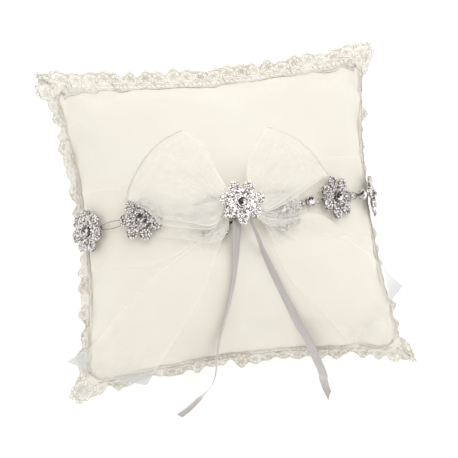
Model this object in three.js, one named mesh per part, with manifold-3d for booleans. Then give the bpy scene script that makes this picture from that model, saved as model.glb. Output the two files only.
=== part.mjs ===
// Ring bearer pillow: a stuffed square pillow with a lace edging, an organza sash and bow,
// a jewelled chain with a brooch, and two satin ribbons for the rings. Millimetres, +Z up.
// The origin is the centre of the flat patch that the pillow rests on. +Y is its top edge.

import * as THREE from 'three';
import { mergeVertices } from 'three/addons/utils/BufferGeometryUtils.js';
import Module from 'manifold-3d';

const wasm = await Module();
wasm.setup();

// ---- Driving dimensions ----

// Pillow: half sizes between seam corners, and how far the middle of each side pulls in.
const HALF_WIDTH = 102;
const HALF_DEPTH = 96.5;
const PULL_IN_SIDES = 10;
const PULL_IN_ENDS = 8;
const SEAM_HEIGHT = 30;
const FRONT_CROWN = 46.6;
const BACK_CROWN = 36;
const CROWN_POWER = 0.6;
const COVER_CLOTH = 0.6;
const GAP = 0.3;
const FILLING_INSET = 3.5;

// Lace edging: a band caught in the seam, which droops outwards.
const LACE_THICKNESS = 1;
const LACE_WIDTH = 11;
const LACE_TUCK = 2;
const LACE_DROOP = 40;
const LACE_PRESSED_DROOP = 74;
const LACE_PRESS_REACH = 22;
const LACE_STEPS_PER_SIDE = 16;

// Organza sash across the front, gathered to the middle.
const SASH_THICKNESS = 0.5;
const SASH_SEAT = 0.8;
const SASH_HALF_WIDTH = 25.4;
const SASH_HALF_GATHERED = 5;
const SASH_GATHER_START = 8;
const SASH_GATHER_END = 62;
const SASH_REACH = 0.985;

// Jewelled flowers and crystals.
const PETALS = 7;
const FLOWER_RADIUS = 14;
const PETAL_LOBE = 3.8;
const PETAL_HOLE = 1.7;
const FLOWER_HEART = 8.6;
const PLATE_THICKNESS = 1;
const COLLAR_HEIGHT = 1.6;
const COLLAR_WALL = 0.6;
const FLOWER_STONE = 2.6;
const STATION_STONE = 2.4;
const STONE_HEIGHT = 2.6;
const STONE_SIDES = 8;

// Wire loops that join them, and the eyes that the loops hang in.
const WIRE_SIDES = 5;
const LINK_WIRE = 0.3;
const LINK_HALF_WIDTH = 2.2;
const EYE_WIRE = 0.3;
const EYE_HOLE = 0.75;
const EYE_LEG = 0.4;
const EYE_INSET = 1.6;
const LUG_WIDTH = 2.4;

// Knot, bow and ribbons.
const KNOT_RADIUS = 8.5;
const KNOT_HEIGHT = 6.6;
const KNOT_Y = -1;
const BOW_THICKNESS = 0.8;
const BOW_CLEAR = 1.6;
const CHAIN_CLEAR = 1.2;
const LOOP_PUFF = 5;
const LOOP_LIFT = 1.2;
const RIBBON_WIDTH = 6;
const RIBBON_THICKNESS = 0.5;

// ---- Values that follow ----

const seamLift = LACE_THICKNESS / 2 + GAP;
const frontRim = SEAM_HEIGHT + seamLift + COVER_CLOTH;
const chainLift = SASH_SEAT + SASH_THICKNESS + GAP + EYE_LEG + EYE_HOLE + 2 * EYE_WIRE;
const eyeDepth = (EYE_LEG + EYE_HOLE) / 2;
const petalRing = FLOWER_RADIUS - PETAL_LOBE;
const flowerEyeRadius = FLOWER_RADIUS - EYE_INSET;
const stationPlate = STATION_STONE + GAP + COLLAR_WALL;
const stationEyeRadius = stationPlate + EYE_WIRE + EYE_HOLE;
const stoneTop = PLATE_THICKNESS + GAP + STONE_HEIGHT;
const pillowTop = frontRim + FRONT_CROWN;
const knotBase = pillowTop + chainLift + stoneTop + GAP;
const broochBase = knotBase + KNOT_HEIGHT + GAP;

// ---- Materials ----

const finish = (color, roughness, metalness = 0, opacity = 1) => new THREE.MeshStandardMaterial({
  color, roughness, metalness, opacity, transparent: opacity < 1, side: THREE.DoubleSide,
});
const ivoryCloth = finish('#f7f2e6', 0.8);
const ivoryLace = finish('#eee6d7', 0.85);
const organza = finish('#f5f1e7', 0.5, 0, 0.5);
const whiteFibre = finish('#fbfaf6', 0.95);
const silverSatin = finish('#cfcac6', 0.35);
const silverMetal = finish('#c9c9cc', 0.25, 1);
const clearCrystal = finish('#eef1f4', 0.05, 0, 0.6);

// ---- Solids from points ----

const pillow = new THREE.Group();

function closedGeometry(positions, index) {
  let volume = 0;
  const corner = (k) => new THREE.Vector3().fromArray(positions, 3 * k);
  for (let k = 0; k < index.length; k += 3) {
    volume += corner(index[k]).dot(corner(index[k + 1]).cross(corner(index[k + 2])));
  }
  if (volume < 0) index.reverse();
  const geometry = new THREE.BufferGeometry();
  geometry.setAttribute('position', new THREE.Float32BufferAttribute(positions, 3));
  geometry.setIndex(index);
  geometry.computeVertexNormals();
  return geometry;
}

// A sheet with two faces, each given by a function of two numbers from 0 to 1.
function sheetSolid(cols, rows, upper, lower) {
  const positions = [];
  for (const face of [upper, lower]) {
    for (let i = 0; i <= cols; i++) {
      for (let j = 0; j <= rows; j++) positions.push(...face(i / cols, j / rows));
    }
  }
  const under = (cols + 1) * (rows + 1);
  const at = (i, j) => i * (rows + 1) + j;
  const index = [];
  const quad = (a, b, c, d) => index.push(a, b, c, a, c, d);
  for (let i = 0; i < cols; i++) {
    for (let j = 0; j < rows; j++) {
      const [a, b, c, d] = [at(i, j), at(i + 1, j), at(i + 1, j + 1), at(i, j + 1)];
      quad(a, b, c, d);
      quad(under + a, under + d, under + c, under + b);
    }
    const [near, nearNext, far, farNext] = [at(i, 0), at(i + 1, 0), at(i, rows), at(i + 1, rows)];
    quad(under + near, under + nearNext, nearNext, near);
    quad(under + farNext, under + far, far, farNext);
  }
  for (let j = 0; j < rows; j++) {
    const [near, nearNext, far, farNext] = [at(0, j), at(0, j + 1), at(cols, j), at(cols, j + 1)];
    quad(under + nearNext, under + near, near, nearNext);
    quad(under + far, under + farNext, farNext, far);
  }
  return closedGeometry(positions, index);
}

// A bar or a closed loop through a row of cross-sections with the same number of corners.
function sweptSolid(sections, isLoop) {
  const sides = sections[0].length;
  const positions = sections.flat().flatMap((p) => p.toArray());
  const index = [];
  const spans = isLoop ? sections.length : sections.length - 1;
  for (let i = 0; i < spans; i++) {
    const here = i * sides;
    const next = ((i + 1) % sections.length) * sides;
    for (let k = 0; k < sides; k++) {
      const m = (k + 1) % sides;
      index.push(here + k, next + k, next + m, here + k, next + m, here + m);
    }
  }
  if (!isLoop) {
    const last = (sections.length - 1) * sides;
    for (let k = 1; k < sides - 1; k++) index.push(0, k, k + 1, last, last + k + 1, last + k);
  }
  return closedGeometry(positions, index);
}

// A round wire: a many-sided section round each point of a path, across the path's direction.
function wireSections(points, radius, across, isLoop) {
  const count = points.length;
  return points.map((point, i) => {
    const before = points[isLoop ? (i + count - 1) % count : Math.max(i - 1, 0)];
    const after = points[isLoop ? (i + 1) % count : Math.min(i + 1, count - 1)];
    const along = after.clone().sub(before).normalize();
    const side = across.clone().cross(along).normalize();
    return Array.from({ length: WIRE_SIDES }, (_, k) => point.clone()
      .addScaledVector(side, radius * Math.cos(k * 2 * Math.PI / WIRE_SIDES))
      .addScaledVector(across, radius * Math.sin(k * 2 * Math.PI / WIRE_SIDES)));
  });
}

function toManifold(geometry) {
  const plain = geometry.clone();
  plain.deleteAttribute('normal');
  plain.deleteAttribute('uv');
  const merged = mergeVertices(plain, 1e-5);
  return new wasm.Manifold(new wasm.Mesh({
    numProp: 3,
    vertProperties: new Float32Array(merged.attributes.position.array),
    triVerts: new Uint32Array(merged.index.array),
  }));
}

function fromManifold(solid) {
  const mesh = solid.getMesh();
  return closedGeometry(Array.from(mesh.vertProperties), Array.from(mesh.triVerts));
}

const union = (geometries) => geometries.map(toManifold).reduce((a, b) => a.add(b));

function addPiece(name, geometry, material, parent = pillow) {
  const mesh = new THREE.Mesh(geometry, material);
  mesh.name = name;
  parent.add(mesh);
  return mesh;
}

// ---- The pillow's shape ----

const crownShape = (u, v) => Math.max((1 - u * u) * (1 - v * v), 0) ** CROWN_POWER;
const smooth = (t) => THREE.MathUtils.smoothstep(t, 0, 1);
const spread = (t) => Math.sin((t - 0.5) * Math.PI);

// A point at shares u and v of the half sizes, on the outline moved in by inset.
function outline(u, v, inset = 0) {
  return [
    u * (HALF_WIDTH - inset - PULL_IN_SIDES * (1 - v * v)),
    v * (HALF_DEPTH - inset - PULL_IN_ENDS * (1 - u * u)),
  ];
}

// The shares u and v of a plan point, by repeated correction.
function shares(x, y) {
  let u = x / HALF_WIDTH;
  let v = y / HALF_DEPTH;
  for (let k = 0; k < 40; k++) {
    u = x / (HALF_WIDTH - PULL_IN_SIDES * (1 - Math.min(v * v, 1)));
    v = y / (HALF_DEPTH - PULL_IN_ENDS * (1 - Math.min(u * u, 1)));
  }
  return [u, v];
}

// Height of the front cover's outside at a plan point; past the seam it falls off gently.
function frontHeight(x, y) {
  const [u, v] = shares(x, y);
  const past = Math.max(Math.abs(u) - 1, Math.abs(v) - 1, 0) * HALF_WIDTH;
  return frontRim + FRONT_CROWN * crownShape(u, v) - 0.15 * past;
}

const frontPoint = (u, v, inset, rim, crown) => [...outline(u, v, inset), rim + crown * crownShape(u, v)];
const backPoint = (u, v, inset, rim, crown, floor) => [
  ...outline(u, v, inset),
  Math.max(rim - crown * crownShape(u, v), floor),
];
const CLOTH_GRID = 12;

function frontCover() {
  const outside = (s, t) => frontPoint(spread(s), spread(t), 0, frontRim, FRONT_CROWN);
  const inside = (s, t) => frontPoint(
    spread(s), spread(t), COVER_CLOTH, frontRim - COVER_CLOTH, FRONT_CROWN,
  );
  return sheetSolid(CLOTH_GRID, CLOTH_GRID, outside, inside);
}

function backCover() {
  const rim = SEAM_HEIGHT - seamLift;
  const inside = (s, t) => backPoint(
    spread(s), spread(t), COVER_CLOTH, rim, BACK_CROWN, COVER_CLOTH,
  );
  const outside = (s, t) => backPoint(spread(s), spread(t), 0, rim - COVER_CLOTH, BACK_CROWN, 0);
  return sheetSolid(CLOTH_GRID, CLOTH_GRID, inside, outside);
}

function fibreFilling() {
  const upper = (s, t) => frontPoint(
    spread(s), spread(t), FILLING_INSET, SEAM_HEIGHT + GAP, FRONT_CROWN + seamLift - 2 * GAP,
  );
  const lower = (s, t) => backPoint(
    spread(s), spread(t), FILLING_INSET, SEAM_HEIGHT - GAP, BACK_CROWN + seamLift - 2 * GAP,
    COVER_CLOTH + GAP,
  );
  return sheetSolid(CLOTH_GRID, CLOTH_GRID, upper, lower);
}

// ---- The chain's course over the front ----

// The chain wanders a little up and down the pillow: share of the half width, and its y.
const chainCourse = new THREE.CatmullRomCurve3([
  [-1, -1.4], [-0.64, -0.4], [-0.4, -2.9], [-0.18, -5.6], [0.05, -5.6],
  [0.28, -5.1], [0.49, -1.3], [0.7, 0.6], [0.9, 2.4], [1, 3.4],
].map(([u, y]) => new THREE.Vector3(u, y, 0)));

// The y of a course at share u of the half width, found by halving.
function courseY(course, u) {
  let low = 0;
  let high = 1;
  for (let k = 0; k < 30; k++) {
    const middle = (low + high) / 2;
    if (course.getPoint(middle).x < u) low = middle;
    else high = middle;
  }
  return course.getPoint(low).y;
}

function frontSurface(u, v) {
  return new THREE.Vector3(...frontPoint(u, v, 0, frontRim, FRONT_CROWN));
}

// Place, outward normal and along-the-chain direction of the chain at share u.
function chainFrame(u) {
  const step = 0.002;
  const v = shares(...outlineX(u))[1];
  const here = frontSurface(u, v);
  const along = frontSurface(u + step, v).sub(frontSurface(u - step, v)).normalize();
  const up = frontSurface(u, v + step).sub(frontSurface(u, v - step)).normalize();
  const normal = along.clone().cross(up).normalize();
  return { place: here.addScaledVector(normal, chainLift), normal, along };
}

function outlineX(u) {
  const y = courseY(chainCourse, u);
  return [u * (HALF_WIDTH - PULL_IN_SIDES), y];
}

// Flowers and single crystals from the right seam to the left, with the reach to the next one,
// the flower's lean away from the pillow's own slope, and the turn of its petals.
const FIRST_SHARE = 0.988;
const LAST_SHARE = -0.965;
const CHAIN = [
  { flower: 7, reach: 19, lean: 0, turn: 20 },
  { crystal: 4, reach: 23 },
  { flower: 6, reach: 21.2, lean: 6, turn: 3 },
  { crystal: 3, reach: 20.3 },
  { flower: 5, reach: 21.8, lean: 0, turn: 12 },
  { crystal: 2, reach: 21.8 },
  { flower: 3, reach: 20.2, lean: 0, turn: 40 },
  { crystal: 1, reach: 24.4 },
  { flower: 2, reach: 41.6, lean: 3, turn: 22 },
  { flower: 1, lean: 7, turn: 31 },
];

// The share at a straight distance from the chain's place at another share, towards the left.
function shareAtReach(fromShare, reach) {
  const from = chainFrame(fromShare).place;
  let low = -0.995;
  let high = fromShare;
  for (let k = 0; k < 30; k++) {
    const middle = (low + high) / 2;
    if (chainFrame(middle).place.distanceTo(from) > reach) low = middle;
    else high = middle;
  }
  return high;
}

// All reaches are stretched alike, so that the last flower lands at its own share.
function chainShares() {
  let low = 0.5;
  let high = 1.6;
  let found = [];
  for (let k = 0; k < 24; k++) {
    const stretch = (low + high) / 2;
    found = [FIRST_SHARE];
    for (const item of CHAIN.slice(0, -1)) {
      found.push(shareAtReach(found[found.length - 1], item.reach * stretch));
    }
    if (found[found.length - 1] > LAST_SHARE) low = stretch;
    else high = stretch;
  }
  return found;
}

// ---- Jewelled pieces, each in its own group with +Z out of the pillow ----

function cylinder(radius, height, sides, x = 0, y = 0, z = 0) {
  return new THREE.CylinderGeometry(radius, radius, height, sides)
    .rotateX(Math.PI / 2).translate(x, y, z + height / 2);
}

// A U of wire under the plate, at a radius, in the direction of an angle.
function eye(radius, angle) {
  const bend = EYE_HOLE + EYE_WIRE;
  const legTop = PLATE_THICKNESS / 2;
  const points = [new THREE.Vector3(bend, 0, legTop), new THREE.Vector3(bend, 0, -EYE_LEG)];
  for (let k = 1; k < 4; k++) {
    const a = k * Math.PI / 4;
    points.push(new THREE.Vector3(bend * Math.cos(a), 0, -EYE_LEG - bend * Math.sin(a)));
  }
  points.push(new THREE.Vector3(-bend, 0, -EYE_LEG), new THREE.Vector3(-bend, 0, legTop));
  return sweptSolid(wireSections(points, EYE_WIRE, new THREE.Vector3(0, 1, 0), false), false)
    .translate(radius, 0, 0).rotateZ(angle);
}

// A flat bar from the plate's middle out over an eye.
function lug(radius, angle) {
  const length = radius + EYE_HOLE + 2 * EYE_WIRE;
  return new THREE.BoxGeometry(length, LUG_WIDTH, PLATE_THICKNESS)
    .translate(length / 2, 0, PLATE_THICKNESS / 2).rotateZ(angle);
}

function stoneSeat(plate, stoneRadius, sides) {
  const bore = stoneRadius + GAP;
  const collar = cylinder(bore + COLLAR_WALL, COLLAR_HEIGHT + GAP, sides, 0, 0, PLATE_THICKNESS - GAP);
  const hollow = cylinder(bore, COLLAR_HEIGHT + GAP, sides, 0, 0, PLATE_THICKNESS);
  return plate.add(toManifold(collar)).subtract(toManifold(hollow));
}

function flowerSetting(turn, eyeAngles) {
  const lobes = [cylinder(FLOWER_HEART, PLATE_THICKNESS, 14)];
  const holes = [];
  for (let k = 0; k < PETALS; k++) {
    const a = THREE.MathUtils.degToRad(turn) + k * 2 * Math.PI / PETALS;
    const [x, y] = [petalRing * Math.cos(a), petalRing * Math.sin(a)];
    lobes.push(cylinder(PETAL_LOBE, PLATE_THICKNESS, 9, x, y));
    holes.push(cylinder(PETAL_HOLE, 3 * PLATE_THICKNESS, 5, x, y, -PLATE_THICKNESS));
  }
  const pierced = union(lobes).subtract(union(holes));
  const hooks = eyeAngles.flatMap((a) => [lug(flowerEyeRadius, a), eye(flowerEyeRadius, a)]);
  const whole = hooks.length ? pierced.add(union(hooks)) : pierced;
  return fromManifold(stoneSeat(whole, FLOWER_STONE, 10));
}

function crystalCup(eyeAngles) {
  const plate = union([cylinder(stationPlate, PLATE_THICKNESS, 10)]);
  const hooks = eyeAngles.flatMap((a) => [lug(stationEyeRadius, a), eye(stationEyeRadius, a)]);
  return fromManifold(stoneSeat(plate.add(union(hooks)), STATION_STONE, 10));
}

function cutStone(radius) {
  const base = PLATE_THICKNESS + GAP;
  const profile = [[0, 0], [0.35, 0], [1, 0.42], [1, 0.58], [0.6, 1], [0, 1]]
    .map(([r, h]) => new THREE.Vector2(r * radius, base + h * STONE_HEIGHT));
  const turned = new THREE.LatheGeometry(profile, STONE_SIDES).rotateX(Math.PI / 2);
  return fromManifold(toManifold(turned));
}

// Turns a group so that its +Z is the normal and its +X runs along the chain.
function standOn(group, place, normal, along) {
  const across = normal.clone().cross(along).normalize();
  const forward = across.clone().cross(normal).normalize();
  group.quaternion.setFromRotationMatrix(new THREE.Matrix4().makeBasis(forward, across, normal));
  group.position.copy(place);
  group.updateMatrixWorld(true);
}

function buildChain() {
  const spots = chainShares().map((u, i) => ({ ...CHAIN[i], ...chainFrame(u) }));
  for (const spot of spots) {
    if (spot.lean) {
      const axis = spot.normal.clone().cross(spot.along).normalize();
      const outwards = spot.place.x > 0 ? 1 : -1;
      const angle = THREE.MathUtils.degToRad(spot.lean) * (spot.flower > 4 ? outwards : -outwards);
      spot.normal.applyAxisAngle(axis, angle);
      spot.along.applyAxisAngle(axis, angle);
    }
    spot.group = new THREE.Group();
    standOn(spot.group, spot.place, spot.normal, spot.along);
    spot.eyeRadius = spot.flower ? flowerEyeRadius : stationEyeRadius;
    pillow.add(spot.group);
  }
  const angleTo = (spot, other) => {
    const local = spot.group.worldToLocal(other.place.clone());
    return Math.atan2(local.y, local.x);
  };
  spots.forEach((spot, i) => {
    spot.next = spots[i + 1] ? angleTo(spot, spots[i + 1]) : null;
    spot.previous = spots[i - 1] ? angleTo(spot, spots[i - 1]) : null;
    const angles = [spot.previous, spot.next].filter((a) => a !== null);
    const stone = spot.flower ? FLOWER_STONE : STATION_STONE;
    if (spot.flower) {
      addPiece(`flower_setting_${spot.flower}`, flowerSetting(spot.turn, angles), silverMetal, spot.group);
      addPiece(`flower_crystal_${spot.flower}`, cutStone(stone), clearCrystal, spot.group);
    } else {
      addPiece(`crystal_cup_${spot.crystal}`, crystalCup(angles), silverMetal, spot.group);
      addPiece(`cup_crystal_${spot.crystal}`, cutStone(stone), clearCrystal, spot.group);
    }
  });
  spots.slice(0, -1).forEach((spot, i) => {
    const other = spots[i + 1];
    const eyePlace = (s, a) => s.group.localToWorld(
      new THREE.Vector3(s.eyeRadius * Math.cos(a), s.eyeRadius * Math.sin(a), -eyeDepth),
    );
    const ends = [eyePlace(spot, spot.next), eyePlace(other, other.previous)];
    const normal = spot.normal.clone().add(other.normal).normalize();
    const number = spots.length - 1 - i;
    addPiece(`wire_link_${number}`, wireLink(ends, normal), silverMetal);
  });
}

// A closed oval of wire whose two ends pass through two eyes.
function wireLink([from, to], normal) {
  const middle = from.clone().add(to).multiplyScalar(0.5);
  const along = to.clone().sub(from);
  const halfLength = along.length() / 2;
  along.normalize();
  const across = normal.clone().cross(along).normalize();
  const up = along.clone().cross(across).normalize();
  const steps = 16;
  const power = (value) => Math.sign(value) * Math.abs(value) ** 0.8;
  const points = Array.from({ length: steps }, (_, k) => {
    const a = k * 2 * Math.PI / steps;
    return middle.clone()
      .addScaledVector(along, halfLength * power(Math.cos(a)))
      .addScaledVector(across, LINK_HALF_WIDTH * power(Math.sin(a)));
  });
  return sweptSolid(wireSections(points, LINK_WIRE, up, true), true);
}

function buildBrooch() {
  const group = new THREE.Group();
  group.position.set(0, 0, broochBase);
  addPiece('brooch_setting', flowerSetting(60, []), silverMetal, group);
  addPiece('brooch_crystal', cutStone(FLOWER_STONE), clearCrystal, group);
  pillow.add(group);
}

// ---- Lace ----

// Sections of the lace band round the whole seam: tucked in between the covers, drooping outside.
function laceEdging() {
  const sections = [];
  const half = LACE_THICKNESS / 2;
  for (let side = 0; side < 4; side++) {
    for (let k = 0; k < LACE_STEPS_PER_SIDE; k++) {
      const t = spread(k / LACE_STEPS_PER_SIDE);
      const [u, v] = [[t, -1], [1, t], [-t, 1], [-1, -t]][side];
      const [x, y] = outline(u, v);
      const [xIn, yIn] = outline(u, v, 1);
      const slope = new THREE.Vector2(x - xIn, y - yIn);
      const corner = Math.abs(t) > 0.93 ? smooth((Math.abs(t) - 0.93) / 0.07) : 0;
      const straight = side % 2 ? new THREE.Vector2(Math.sign(u), 0) : new THREE.Vector2(0, Math.sign(v));
      const out = straight.lerp(slope, corner);
      const nearChain = side % 2 ? smooth(1 - Math.abs(y - courseY(chainCourse, u)) / LACE_PRESS_REACH) : 0;
      const droop = THREE.MathUtils.degToRad(
        LACE_DROOP + (LACE_PRESSED_DROOP - LACE_DROOP) * smooth(1.6 * nearChain),
      );
      const reach = LACE_WIDTH * Math.cos(droop);
      const drop = LACE_WIDTH * Math.sin(droop);
      const lean = half * Math.sin(droop);
      const rise = half * Math.cos(droop);
      const spot = (distance, z) => new THREE.Vector3(x + out.x * distance, y + out.y * distance, z);
      sections.push([
        spot(-LACE_TUCK, SEAM_HEIGHT + half),
        spot(0, SEAM_HEIGHT + half),
        spot(reach + lean, SEAM_HEIGHT - drop + rise),
        spot(reach - lean, SEAM_HEIGHT - drop - rise),
        spot(0, SEAM_HEIGHT - half),
        spot(-LACE_TUCK, SEAM_HEIGHT - half),
      ]);
    }
  }
  return sweptSolid(sections, true);
}

// ---- Sash, bow and knot ----

const sashCourse = new THREE.CatmullRomCurve3([
  [-1, -0.6], [-0.65, -4.5], [-0.45, -7], [-0.2, -7.4], [0, -5], [0.35, -2.5], [0.7, 1.5], [1, 3.4],
].map(([u, y]) => new THREE.Vector3(u, y, 0)));

function organzaSash() {
  const face = (lift) => (s, t) => {
    const u = spread(s) * SASH_REACH;
    const x = u * (HALF_WIDTH - PULL_IN_SIDES);
    const open = smooth((Math.abs(x) - SASH_GATHER_START) / (SASH_GATHER_END - SASH_GATHER_START));
    const halfWidth = SASH_HALF_GATHERED + (SASH_HALF_WIDTH - SASH_HALF_GATHERED) * open;
    const y = courseY(sashCourse, u) + (2 * t - 1) * halfWidth;
    const [, v] = shares(x, y);
    const base = frontSurface(u, v);
    const step = 0.002;
    const along = frontSurface(u + step, v).sub(frontSurface(u - step, v));
    const up = frontSurface(u, v + step).sub(frontSurface(u, v - step));
    return base.addScaledVector(along.cross(up).normalize(), lift).toArray();
  };
  return sheetSolid(18, 4, face(SASH_SEAT + SASH_THICKNESS), face(SASH_SEAT));
}

// How much longer the upright way out of the cover is than the square way, where it slopes.
function steepness(x, y) {
  const step = 1;
  const slope = Math.hypot(
    frontHeight(x + step, y) - frontHeight(x - step, y),
    frontHeight(x, y + step) - frontHeight(x, y - step),
  ) / (2 * step);
  return Math.min(Math.hypot(slope, 1), 1.8);
}

// Room above the cover: over the jewelled chain near its course, and up to the knot at its root.
function hover(x, y, rootLift) {
  const u = THREE.MathUtils.clamp(x / (HALF_WIDTH - PULL_IN_SIDES), -1, 1);
  const beside = Math.abs(y - courseY(chainCourse, u));
  const overChain = chainLift + stoneTop + CHAIN_CLEAR - BOW_CLEAR;
  const low = (BOW_CLEAR + overChain * smooth(1 - (beside - 8) / 14)) * steepness(x, y);
  const fromKnot = Math.hypot(x, y - KNOT_Y) - KNOT_RADIUS;
  const near = smooth(1 - fromKnot / 26);
  return low * (1 - near) + rootLift * near;
}

// A patch between four edges: root and outer edge, and the two sides that run between them.
function patch(root, outer, sideA, sideB) {
  const curve = (points) => new THREE.CatmullRomCurve3(points.map(([x, y]) => new THREE.Vector3(x, y, 0)));
  const [rootCurve, outerCurve] = [curve(root), curve(outer)];
  const [curveA, curveB] = [
    curve([root[0], ...sideA, outer[0]]),
    curve([root[root.length - 1], ...sideB, outer[outer.length - 1]]),
  ];
  return (s, t) => {
    const ends = rootCurve.getPoint(t).multiplyScalar(1 - s).addScaledVector(outerCurve.getPoint(t), s);
    const sides = curveA.getPoint(s).multiplyScalar(1 - t).addScaledVector(curveB.getPoint(s), t);
    const corners = rootCurve.getPoint(0).multiplyScalar((1 - s) * (1 - t))
      .addScaledVector(rootCurve.getPoint(1), (1 - s) * t)
      .addScaledVector(outerCurve.getPoint(0), s * (1 - t))
      .addScaledVector(outerCurve.getPoint(1), s * t);
    return ends.add(sides).sub(corners);
  };
}

// The two ends of a short root line that touches the knot's clearance circle at an angle.
function knotRoot(degrees, halfWidth) {
  const a = THREE.MathUtils.degToRad(degrees);
  const radius = KNOT_RADIUS + GAP + 0.1;
  const [x, y] = [radius * Math.cos(a), KNOT_Y + radius * Math.sin(a)];
  const shift = (side) => [x - side * halfWidth * Math.sin(a), y + side * halfWidth * Math.cos(a)];
  return [shift(-1), shift(1)];
}

function bowPiece(plan, rootLift, puff, cols, rows) {
  const face = (lift) => (s, t) => {
    const p = plan(s, t);
    const swell = puff * Math.sin(Math.PI * s ** 1.3) * Math.sin(Math.PI * t);
    return [p.x, p.y, frontHeight(p.x, p.y) + hover(p.x, p.y, rootLift) + lift * (BOW_THICKNESS + swell)];
  };
  return sheetSolid(cols, rows, face(1), face(0));
}

const tailRootLift = chainLift + stoneTop + 2 * GAP;
const loopRootLift = tailRootLift + BOW_THICKNESS + LOOP_LIFT;

function buildBow() {
  const rootWidth = 3;
  const leftLoop = patch(
    knotRoot(150, rootWidth).reverse(),
    [[-67, 13], [-64.6, 20.7], [-58.7, 30.4], [-50.1, 40.6], [-40, 47.7], [-28, 52.5]],
    [[-17, -8.6], [-32, -9.5], [-48.5, -6.6], [-55, 1.5]],
    [[-10.4, 21], [-14.3, 34.5], [-20, 45.3]],
  );
  const rightLoop = patch(
    knotRoot(32, rootWidth),
    [[66, 12], [62.4, 17.5], [56.2, 25.7], [50.6, 32.1], [43.8, 39], [34.8, 44.6], [26, 48.7]],
    [[16, -5.6], [27, -6.8], [42, -4.6], [55.4, 1.6]],
    [[6.7, 20], [11.5, 31.7], [19.8, 42.4]],
  );
  const leftTail = patch(
    knotRoot(205, 2.6),
    [[-110.1, -80.6], [-87.7, -92.9], [-64.8, -103.8]],
    [[-19, -13.6], [-36.3, -24.4], [-65.1, -43.2], [-94.2, -70.4]],
    [[-13, -19.5], [-26.3, -48.5], [-41.8, -70.4]],
  );
  const rightTail = patch(
    knotRoot(-28, 2.6).reverse(),
    [[106, -58], [88, -76], [67.2, -91.1]],
    [[14, -9.4], [28, -12], [45, -9.4], [59.5, -15.6], [74.7, -28.6], [93.3, -43]],
    [[13.5, -15.5], [24.3, -42], [33.3, -54.9], [49.3, -71.4]],
  );
  addPiece('bow_loop_left', bowPiece(leftLoop, loopRootLift, LOOP_PUFF, 9, 6), organza);
  addPiece('bow_loop_right', bowPiece(rightLoop, loopRootLift, LOOP_PUFF, 9, 6), organza);
  addPiece('bow_tail_left', bowPiece(leftTail, tailRootLift, 0, 14, 6), organza);
  addPiece('bow_tail_right', bowPiece(rightTail, tailRootLift, 0, 14, 6), organza);
}

function bowKnot() {
  const rounding = 1.6;
  const profile = [
    [0, 0], [KNOT_RADIUS - rounding, 0], [KNOT_RADIUS, rounding],
    [KNOT_RADIUS, KNOT_HEIGHT - rounding], [KNOT_RADIUS - rounding, KNOT_HEIGHT], [0, KNOT_HEIGHT],
  ].map(([r, h]) => new THREE.Vector2(r, h));
  const turned = new THREE.LatheGeometry(profile, 20).rotateX(Math.PI / 2).translate(0, KNOT_Y, knotBase);
  return fromManifold(toManifold(turned));
}

// ---- Satin ribbons ----

// Each ribbon's middle line from the knot, over the lower edge and on to the table.
const RIBBON_LEFT_PATH = [
  [-3.8, -9.9, 87.4], [-4.4, -13.5, 87.0], [-5.0, -18, 85.6], [-5.4, -23, 81.8], [-5.8, -29, 77.6],
  [-6.6, -36, 74.8], [-8.0, -44, 72.0], [-10.2, -52, 68.8], [-12.6, -60, 64.9], [-15.0, -67, 60.8],
  [-17.2, -74, 55.7], [-18.8, -80, 50.4], [-19.7, -85, 44.6], [-20.0, -89.5, 37.6],
  [-20.3, -95, 32.2], [-21.0, -100, 27.0], [-22.3, -104, 19.5], [-24.0, -106.8, 11.5],
  [-26.4, -109.8, 4.6], [-30.0, -113.4, 1.2], [-36.0, -118.0, 0.8], [-43.2, -122.1, 0.7],
];
const RIBBON_RIGHT_PATH = [
  [3.8, -9.9, 87.4], [5.0, -13.5, 87.0], [6.8, -18.5, 85.2], [9.0, -24, 80.6], [11.4, -30, 76.6],
  [14.4, -38, 73.8], [17.6, -46, 70.7], [21.2, -54, 67.2], [25.0, -62, 63.0], [28.8, -69.5, 58.3],
  [32.4, -76, 53.4], [35.8, -81.5, 48.8], [38.6, -86, 43.6], [41.2, -90.5, 37.4],
  [44.0, -95.5, 31.6], [46.8, -100.5, 26.0], [49.4, -105, 19.0], [51.6, -109, 12.0],
  [53.6, -113, 5.6], [55.2, -116.8, 1.6], [56.8, -121.5, 0.8],
];

function satinRibbon(path) {
  const points = path.map((p) => new THREE.Vector3(...p));
  const sections = points.map((point, i) => {
    const along = points[Math.min(i + 1, points.length - 1)].clone()
      .sub(points[Math.max(i - 1, 0)]).normalize();
    const across = along.clone().cross(new THREE.Vector3(0, 0, 1)).normalize();
    const normal = across.clone().cross(along).normalize();
    const corner = (a, b) => point.clone()
      .addScaledVector(across, a * RIBBON_WIDTH / 2)
      .addScaledVector(normal, b * RIBBON_THICKNESS / 2);
    return [corner(-1, -1), corner(1, -1), corner(1, 1), corner(-1, 1)];
  });
  return sweptSolid(sections, false);
}

// ---- The whole ----

addPiece('fibre_filling', fibreFilling(), whiteFibre);
addPiece('front_cover', frontCover(), ivoryCloth);
addPiece('back_cover', backCover(), ivoryCloth);
addPiece('lace_edging', laceEdging(), ivoryLace);
addPiece('organza_sash', organzaSash(), organza);
buildChain();
buildBow();
addPiece('bow_knot', bowKnot(), organza);
buildBrooch();
addPiece('ribbon_left', satinRibbon(RIBBON_LEFT_PATH), silverSatin);
addPiece('ribbon_right', satinRibbon(RIBBON_RIGHT_PATH), silverSatin);

export default pillow;
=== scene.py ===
# %% [markdown]
# # A ring bearer pillow
# A stuffed ivory pillow with a corded lace edging, a sheer organza sash and bow, a chain of
# jewelled flowers, a brooch on the knot and two satin ribbons. The frame below comes from the
# CAD model, so each cloth or jewel piece is made where the CAD piece already is.

# %% Load the frame
import math

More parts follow.
